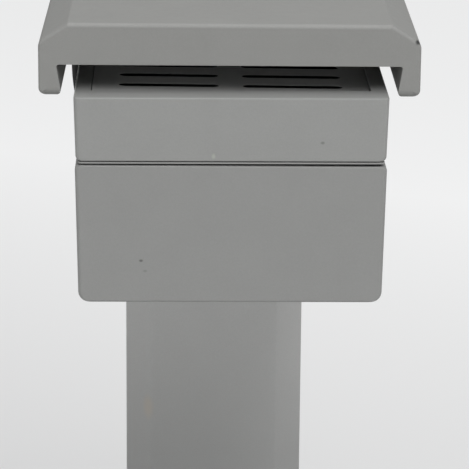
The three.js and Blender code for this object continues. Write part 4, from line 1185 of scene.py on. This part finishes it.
class PROJECTOR_OT_column(bpy.types.Operator):
    """Column: folded front shell, back cover, core, socket, plinth and cap"""

    bl_idname = "projector.column"
    bl_label = "Column"

    def execute(self, context):
        start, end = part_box("column_front_shell")
        wall = 2 * MM
        spare = Vector((0.4 * MM, 0, 0))
        outside = self.outline(start - spare, end + spare, 0)
        shell = piece(
            "column_shell", run(outside, Z, start.z, end.z), column_grey, "base", "pale_grey_plastic",
            "column_front_shell",
        )
        inside = self.outline(start + Vector((wall, wall, 0)), end + Vector((-wall, wall, 0)), wall)
        carve(shell, run(inside, Z, start.z - wall, end.z + wall))
        soften(shell, edges().fine)
        dress("column_back_cover", painted_sheet, 0.4)
        dress("column_core", brushed_sheet, 0.4)
        dress("column_socket", zinc_plate, 0.5)
        dress("column_cap", black_plastic, 1.2, 3)
        dress("column_plinth", shell_grey, 1.6, 3)
        heights = (110 * MM, 230 * MM, 350 * MM, end.z - 16 * MM)
        start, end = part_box("column_back_cover")
        across = (start.x + 7 * MM, end.x - 7 * MM)
        screws("back_cover_screws", "base", product(across, (end.y,), heights), "Y", 2.8, 1.2)
        return {"FINISHED"}

    def outline(self, start, end, wall):
        """Plan of the folded shell: flat front, two folds at each side"""
        left, right = start.x + 16 * MM, end.x - 16 * MM
        fold = start.y + 13 * MM
        radius = max(edges().column_edge - wall, 0.6 * MM)
        points = [
            (start.x, end.y), (start.x, fold), (left, start.y),
            (right, start.y), (end.x, fold), (end.x, end.y),
        ]
        return filleted(points, [0, radius, radius, radius, radius, 0], 5)


class PROJECTOR_OT_carriage(bpy.types.Operator):
    """Carriage: neck casting, back plate and guide shoes"""

    bl_idname = "projector.carriage"
    bl_label = "Carriage"

    def execute(self, context):
        dress("neck_casting", painted_casting, 1.2, 3)
        dress("carriage_back_plate", painted_sheet, 0.6)
        for side in ("left", "right"):
            dress(f"guide_shoe_{side}", pale_nylon, 0.3)
        start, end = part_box("carriage_back_plate")
        across = (start.x + 6 * MM, end.x - 6 * MM)
        heights = (start.z + 12 * MM, end.z - 12 * MM)
        screws("back_plate_screws", "head", product(across, (end.y,), heights), "Y", 3.2, 1.4)
        return {"FINISHED"}


class PROJECTOR_OT_focus_drive(bpy.types.Operator):
    """Focus drive: rack, pinion, shaft and the two knobs"""

    bl_idname = "projector.focus_drive"
    bl_label = "Focus drive"

    def execute(self, context):
        dress("focus_rack", drawn_steel, 0.12)
        dress("pinion", cut_brass, 0.12)
        dress("pinion_shaft", drawn_steel, 0.3)
        for side, axis in (("left", "-X"), ("right", "X")):
            node = f"focus_knob_{side}"
            start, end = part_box(node)
            centre = (start + end) / 2
            radius = (end.y - start.y) / 2
            length = end.x - start.x
            inner = end.x if side == "left" else start.x
            there = Matrix.Translation((inner, centre.y, centre.z)) @ AXES[axis]
            knob = moved(self.knob(radius, length), there)
            soften(piece(f"knob_{side}", knob, foot_rubber, "focus_shaft", "black_plastic", node), 0.3 * MM)
            mark = slab((-0.5 * MM, radius * 0.32, -0.3 * MM), (0.5 * MM, radius * 0.6, 0.3 * MM))
            crown = Matrix.Translation((0, 0, length + 0.2 * MM))
            slope = Matrix.Rotation(math.radians(-7), 4, "X")
            moved(mark, there @ crown @ slope)
            line = piece(f"knob_mark_{side}", mark, pale_mark, "focus_shaft", "nylon")
            soften(line, 0.1 * MM)
        return {"FINISHED"}

    def knob(self, radius, length):
        """A domed knob with shallow grip flutes round its rim"""
        flutes = 20
        flute_depth = 0.9 * MM
        sides = flutes * 8
        waves = [max(0.0, math.cos(flutes * 2 * math.pi * i / sides)) ** 2 for i in range(sides)]
        crown = length / MM
        # Levels in millimetres, shares of the radius, and how deep the flutes are there
        levels = [
            (0.0, 0.965, 0.0), (0.4, 1.0, 0.2), (3.0, 1.0, 1.0), (crown - 10.0, 1.0, 1.0),
            (crown - 7.4, 0.985, 0.7), (crown - 5.4, 0.95, 0.25), (crown - 3.9, 0.89, 0.0),
            (crown - 2.7, 0.80, 0.0), (crown - 1.8, 0.68, 0.0), (crown - 1.0, 0.52, 0.0),
            (crown - 0.45, 0.35, 0.0), (crown - 0.12, 0.18, 0.0), (crown, 0.02, 0.0),
        ]
        rings = []
        for level, share, fluting in levels:
            ring = []
            for way, wave in zip(around(1, 0, sides), waves):
                point = way * (radius * share - flute_depth * fluting * wave)
                ring.append(Vector((point.x, point.y, level * MM)))
            rings.append(ring)
        return loft(rings)


class PROJECTOR_OT_base_shells(bpy.types.Operator):
    """Base: tray and cover"""

    bl_idname = "projector.base_shells"
    bl_label = "Base shells"

    def execute(self, context):
        dress("base_cover", shell_grey, 1.4, 3)
        dress("base_tray", lower_grey, 1.6, 3)
        start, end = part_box("base_tray")
        inset = 16 * MM
        across = (start.x + inset, end.x - inset)
        along = (start.y + inset, (start.y + end.y) / 2, end.y - inset)
        screws("tray_screws", "base", product(across, along, (start.z,)), "-Z", 3.0, 1.2)
        return {"FINISHED"}


class PROJECTOR_OT_feet(bpy.types.Operator):
    """Rubber feet, each with the screw in its hollow"""

    bl_idname = "projector.feet"
    bl_label = "Feet"

    def execute(self, context):
        hollow = 2.4 * MM
        for place, side in product(("front", "back"), ("left", "right")):
            node = f"foot_{place}_{side}"
            start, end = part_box(node)
            centre = (start + end) / 2
            radius = half_width(node)
            height = end.z - start.z
            profile = [
                (0, hollow), (5.0 * MM, hollow), (5.2 * MM, 0.3 * MM), (5.6 * MM, 0),
                (radius - 2.4 * MM, 0), (radius - 1.4 * MM, 0.3 * MM), (radius - 0.6 * MM, 1.2 * MM),
                (radius - 0.2 * MM, height * 0.5), (radius, height - 0.8 * MM), (radius - 0.5 * MM, height),
                (0, height),
            ]
            foot = turned(profile, (centre.x, centre.y, start.z))
            soften(piece(f"rubber_{node}", foot, foot_rubber, "base", "rubber", node), 0.2 * MM)
            screws(f"screw_{node}", "base", [(centre.x, centre.y, start.z + hollow)], "-Z", 3.4, 1.3)
        return {"FINISHED"}


class PROJECTOR_OT_stage_glass(bpy.types.Operator):
    """Stage: clear glass, grooved mirror, pan and the trim frame"""

    bl_idname = "projector.stage_glass"
    bl_label = "Stage glass"

    def execute(self, context):
        dress("stage_glass", clear_glass, 0.3)
        dress("fresnel_mirror", grooved_mirror, 0.1)
        dress("stage_pan", zinc_plate, 0.3)
        dress("stage_frame", black_plastic, 0.7, 3)
        start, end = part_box("stage_frame")
        inset = 6 * MM
        across = (start.x + inset, 0, end.x - inset)
        along = (start.y + inset, end.y - inset)
        screws("stage_frame_screws", "base", product(across, along, (end.z,)), "Z", 2.0, 0.7)
        return {"FINISHED"}


class PROJECTOR_OT_electrics(bpy.types.Operator):
    """Transformer, mains inlet, fuse holder and power switch"""

    bl_idname = "projector.electrics"
    bl_label = "Electrics"

    def execute(self, context):
        dress("transformer", core_laminations, 0.5)
        self.windings()
        dress("rear_panel", painted_sheet, 0.3)
        dress("mains_inlet", black_plastic, 0.3)
        self.inlet_pins()
        dress("fuse_holder", black_plastic, 0.5)
        dress("switch_bezel", black_plastic, 0.5)
        dress("power_rocker", black_plastic, 0.5, 3)
        self.switch_marks()
        return {"FINISHED"}

    def windings(self):
        """The two ends of the coil, which stand out of the core"""
        start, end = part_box("transformer")
        centre = (start + end) / 2
        depth = end.y - start.y
        edge = (2 * MM, 2 * MM)
        for name, sign in (("winding_front", -1), ("winding_back", 1)):
            outer = centre.y + sign * depth / 2
            inner = centre.y + sign * depth * 0.31
            winding = round_box(
                46 * MM, abs(outer - inner) - 0.4 * MM, start.z + 3 * MM, start.z + 34 * MM, 4 * MM,
                edge, edge, (centre.x, (outer + inner) / 2 + sign * 0.4 * MM),
            )
            piece(name, winding, enamelled_wire, "base", "brass")

    def inlet_pins(self):
        """Bright contact blades over the three pins of the inlet"""
        start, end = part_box("mains_inlet")
        centre = (start + end) / 2
        front, back = start.y + 2.2 * MM, start.y + 16.2 * MM
        blades = []
        for step_x, step_z in ((-1, -1), (0, 1), (1, -1)):
            x = centre.x + step_x * 7 * MM
            z = centre.z + step_z * 2 * MM
            blades.append(slab((x - 1.1 * MM, front, z - 2.1 * MM), (x + 1.1 * MM, back, z + 2.1 * MM)))
        soften(piece("inlet_blades", join(*blades), drawn_steel, "base", "steel"), 0.3 * MM)

    def switch_marks(self):
        """A bar and a ring, the usual marks for on and off"""
        start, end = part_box("power_rocker")
        centre = (start + end) / 2
        half = half_width("power_rocker")
        reach = half * 0.58
        tilt = math.radians(8)
        level = end.z - math.tan(tilt) * (half - reach) + 0.03 * MM
        thick = 0.15 * MM
        inner, outer = 1.6 * MM, 2.2 * MM
        bar = slab((-0.35 * MM, -outer, -thick), (0.35 * MM, outer, thick))
        rings = ((inner, -thick), (inner, thick), (outer, thick), (outer, -thick))
        ring = loft([around(radius, height, 32) for radius, height in rings], closed=True)
        for mark, sign in ((bar, 1), (ring, -1)):
            place = Matrix.Translation((centre.x + sign * reach, centre.y, level))
            moved(mark, place @ Matrix.Rotation(-sign * tilt, 4, "Y"))
        piece("switch_marks", join(bar, ring), pale_mark, "rocker", "nylon")


# Studio
class PROJECTOR_OT_studio(bpy.types.Operator):
    """Pale floor, soft lamps and the camera at the photograph's angle"""

    bl_idname = "projector.studio"
    bl_label = "Studio"

    def execute(self, context):
        studio = context.scene.projector_studio
        self.floor(studio)
        self.world(studio)
        target = Vector((0, HEAD_FRONT, (HEAD_TOP + HEAD_BOTTOM) / 2))
        self.lamp("key", (0.4, -1.8, 2.3), target, 1.2, 1.3, studio.key)
        self.lamp("top", (0.1, 0.0, 2.2), target, 1.6, 1.6, studio.top)
        self.lamp("left", (-1.9, -1.5, 1.1), target, 1.2, 1.2, studio.left)
        self.lamp("right", (2.0, -1.5, 1.1), target, 1.2, 1.2, studio.right)
        self.camera(studio)
        context.scene.view_settings.view_transform = "Standard"
        return {"FINISHED"}

    def floor(self, studio):
        build = bmesh.new()
        bmesh.ops.create_grid(build, x_segments=1, y_segments=1, size=6)
        floor = link("floor", to_mesh("floor", build))
        surface = Surface("studio_floor", Roughness=0.9, Specular_IOR_Level=0.1)
        soft = surface.noise(900 * MM, 1.0)
        surface.feed("Base Color", surface.tint(soft, (0.74, 0.74, 0.735), (0.78, 0.78, 0.775)))
        self.brighten(surface, studio.floor_light)
        floor.data.materials.append(surface.material)

    def brighten(self, surface, strength):
        """Shows the floor pale to the camera and in reflections, and keeps part of its shadows"""
        seen, shine, through = (
            surface.add("ShaderNodeLightPath", output=f"Is {kind} Ray")
            for kind in ("Camera", "Glossy", "Transmission")
        )
        share = surface.maths("MAXIMUM", surface.maths("MAXIMUM", seen, shine), through)
        back = surface.add("ShaderNodeSeparateXYZ", {}, {0: surface.place()}, "Y")
        aside = surface.add("ShaderNodeSeparateXYZ", {}, {0: surface.place()}, "X")
        # Painted shade: the floor's glow is dimmer near the camera and towards the left
        reach = {"Value": back + 0.4 * aside, "From Min": 0.45, "From Max": 1.6}
        depth = surface.add("ShaderNodeMapRange", {}, reach, "Result")
        near = scaled((0.985, 0.99, 1.0), 0.78 * strength)
        far = scaled((0.99, 0.995, 1.0), 1.27 * strength)
        shade = {"Color": surface.tint(depth, near, far), "Strength": 1.0}
        glow = surface.add("ShaderNodeEmission", {}, shade)
        mix = surface.add("ShaderNodeMixShader", {}, {0: share * 0.6, 2: glow})
        surface.tree.links.new(surface.shader.outputs[0], mix.socket.node.inputs[1])
        surface.tree.links.new(mix.socket, surface.output.inputs["Surface"])

    def world(self, studio):
        """Soft light from all sides, and a pale backdrop past the floor's edge"""
        world = bpy.data.worlds.new("studio")
        world.use_nodes = True
        nodes = world.node_tree.nodes
        links = world.node_tree.links
        soft = nodes["Background"]
        soft.inputs["Color"].default_value = (1, 1, 1, 1)
        soft.inputs["Strength"].default_value = studio.ambient
        pale = nodes.new("ShaderNodeBackground")
        pale.inputs["Color"].default_value = (0.985, 0.99, 1.0, 1)
        pale.inputs["Strength"].default_value = studio.backdrop
        path = nodes.new("ShaderNodeLightPath")
        mix = nodes.new("ShaderNodeMixShader")
        links.new(path.outputs["Is Camera Ray"], mix.inputs["Fac"])
        links.new(soft.outputs["Background"], mix.inputs[1])
        links.new(pale.outputs["Background"], mix.inputs[2])
        links.new(mix.outputs["Shader"], nodes["World Output"].inputs["Surface"])
        bpy.context.scene.world = world

    def lamp(self, name, place, target, width, height, power):
        data = bpy.data.lights.new(name, "AREA")
        data.shape = "RECTANGLE"
        data.size = width
        data.size_y = height
        data.energy = power
        lamp = link(name, data)
        lamp.location = place
        lamp.rotation_euler = (target - Vector(place)).to_track_quat("-Z", "Y").to_euler()

    def camera(self, studio):
        """In front of the head, a little left of its middle, looking down at it"""
        pan = Matrix.Rotation(math.radians(-1.247), 4, "Z")
        pitch = Matrix.Rotation(math.radians(90 - 16.29), 4, "X")
        roll = Matrix.Rotation(math.radians(0.48), 4, "Z")
        data = bpy.data.cameras.new("camera")
        data.sensor_width = 36
        data.lens = data.sensor_width * studio.focal_px / studio.picture_px
        data.clip_start = 0.05
        camera = link("camera", data)
        camera.matrix_world = Matrix.Translation(EYE) @ pan @ pitch @ roll
        bpy.context.scene.camera = camera


OPERATORS = (
    PROJECTOR_OT_lower_shell,
    PROJECTOR_OT_upper_shell,
    PROJECTOR_OT_vent_plate,
    PROJECTOR_OT_lid,
    PROJECTOR_OT_lid_mirror,
    PROJECTOR_OT_hinge,
    PROJECTOR_OT_chassis,
    PROJECTOR_OT_lens,
    PROJECTOR_OT_lamp,
    PROJECTOR_OT_fan,
    PROJECTOR_OT_column,
    PROJECTOR_OT_carriage,
    PROJECTOR_OT_focus_drive,
    PROJECTOR_OT_base_shells,
    PROJECTOR_OT_feet,
    PROJECTOR_OT_stage_glass,
    PROJECTOR_OT_electrics,
    PROJECTOR_OT_studio,
)


class PROJECTOR_PT_panel(bpy.types.Panel):
    """Lists the pieces in the order in which they are dressed"""

    bl_label = "Overhead Projector"
    bl_idname = "PROJECTOR_PT_panel"
    bl_space_type = "VIEW_3D"
    bl_region_type = "UI"
    bl_category = "Projector"

    def draw(self, context):
        for operator in OPERATORS:
            self.layout.operator(operator.bl_idname)


GROUPS = {
    "projector_colours": ProjectorColours,
    "projector_edges": ProjectorEdges,
    "projector_studio": ProjectorStudio,
}


def register():
    for name, group in GROUPS.items():
        bpy.utils.register_class(group)
        setattr(bpy.types.Scene, name, bpy.props.PointerProperty(type=group))
    for operator in OPERATORS:
        bpy.utils.register_class(operator)
    bpy.utils.register_class(PROJECTOR_PT_panel)


def unregister():
    bpy.utils.unregister_class(PROJECTOR_PT_panel)
    for operator in reversed(OPERATORS):
        bpy.utils.unregister_class(operator)
    for name, group in GROUPS.items():
        delattr(bpy.types.Scene, name)
        bpy.utils.unregister_class(group)


def main():
    register()
    for operator in OPERATORS:
        group, name = operator.bl_idname.split(".")
        getattr(getattr(bpy.ops, group), name)()


if __name__ == "__main__":
    main()
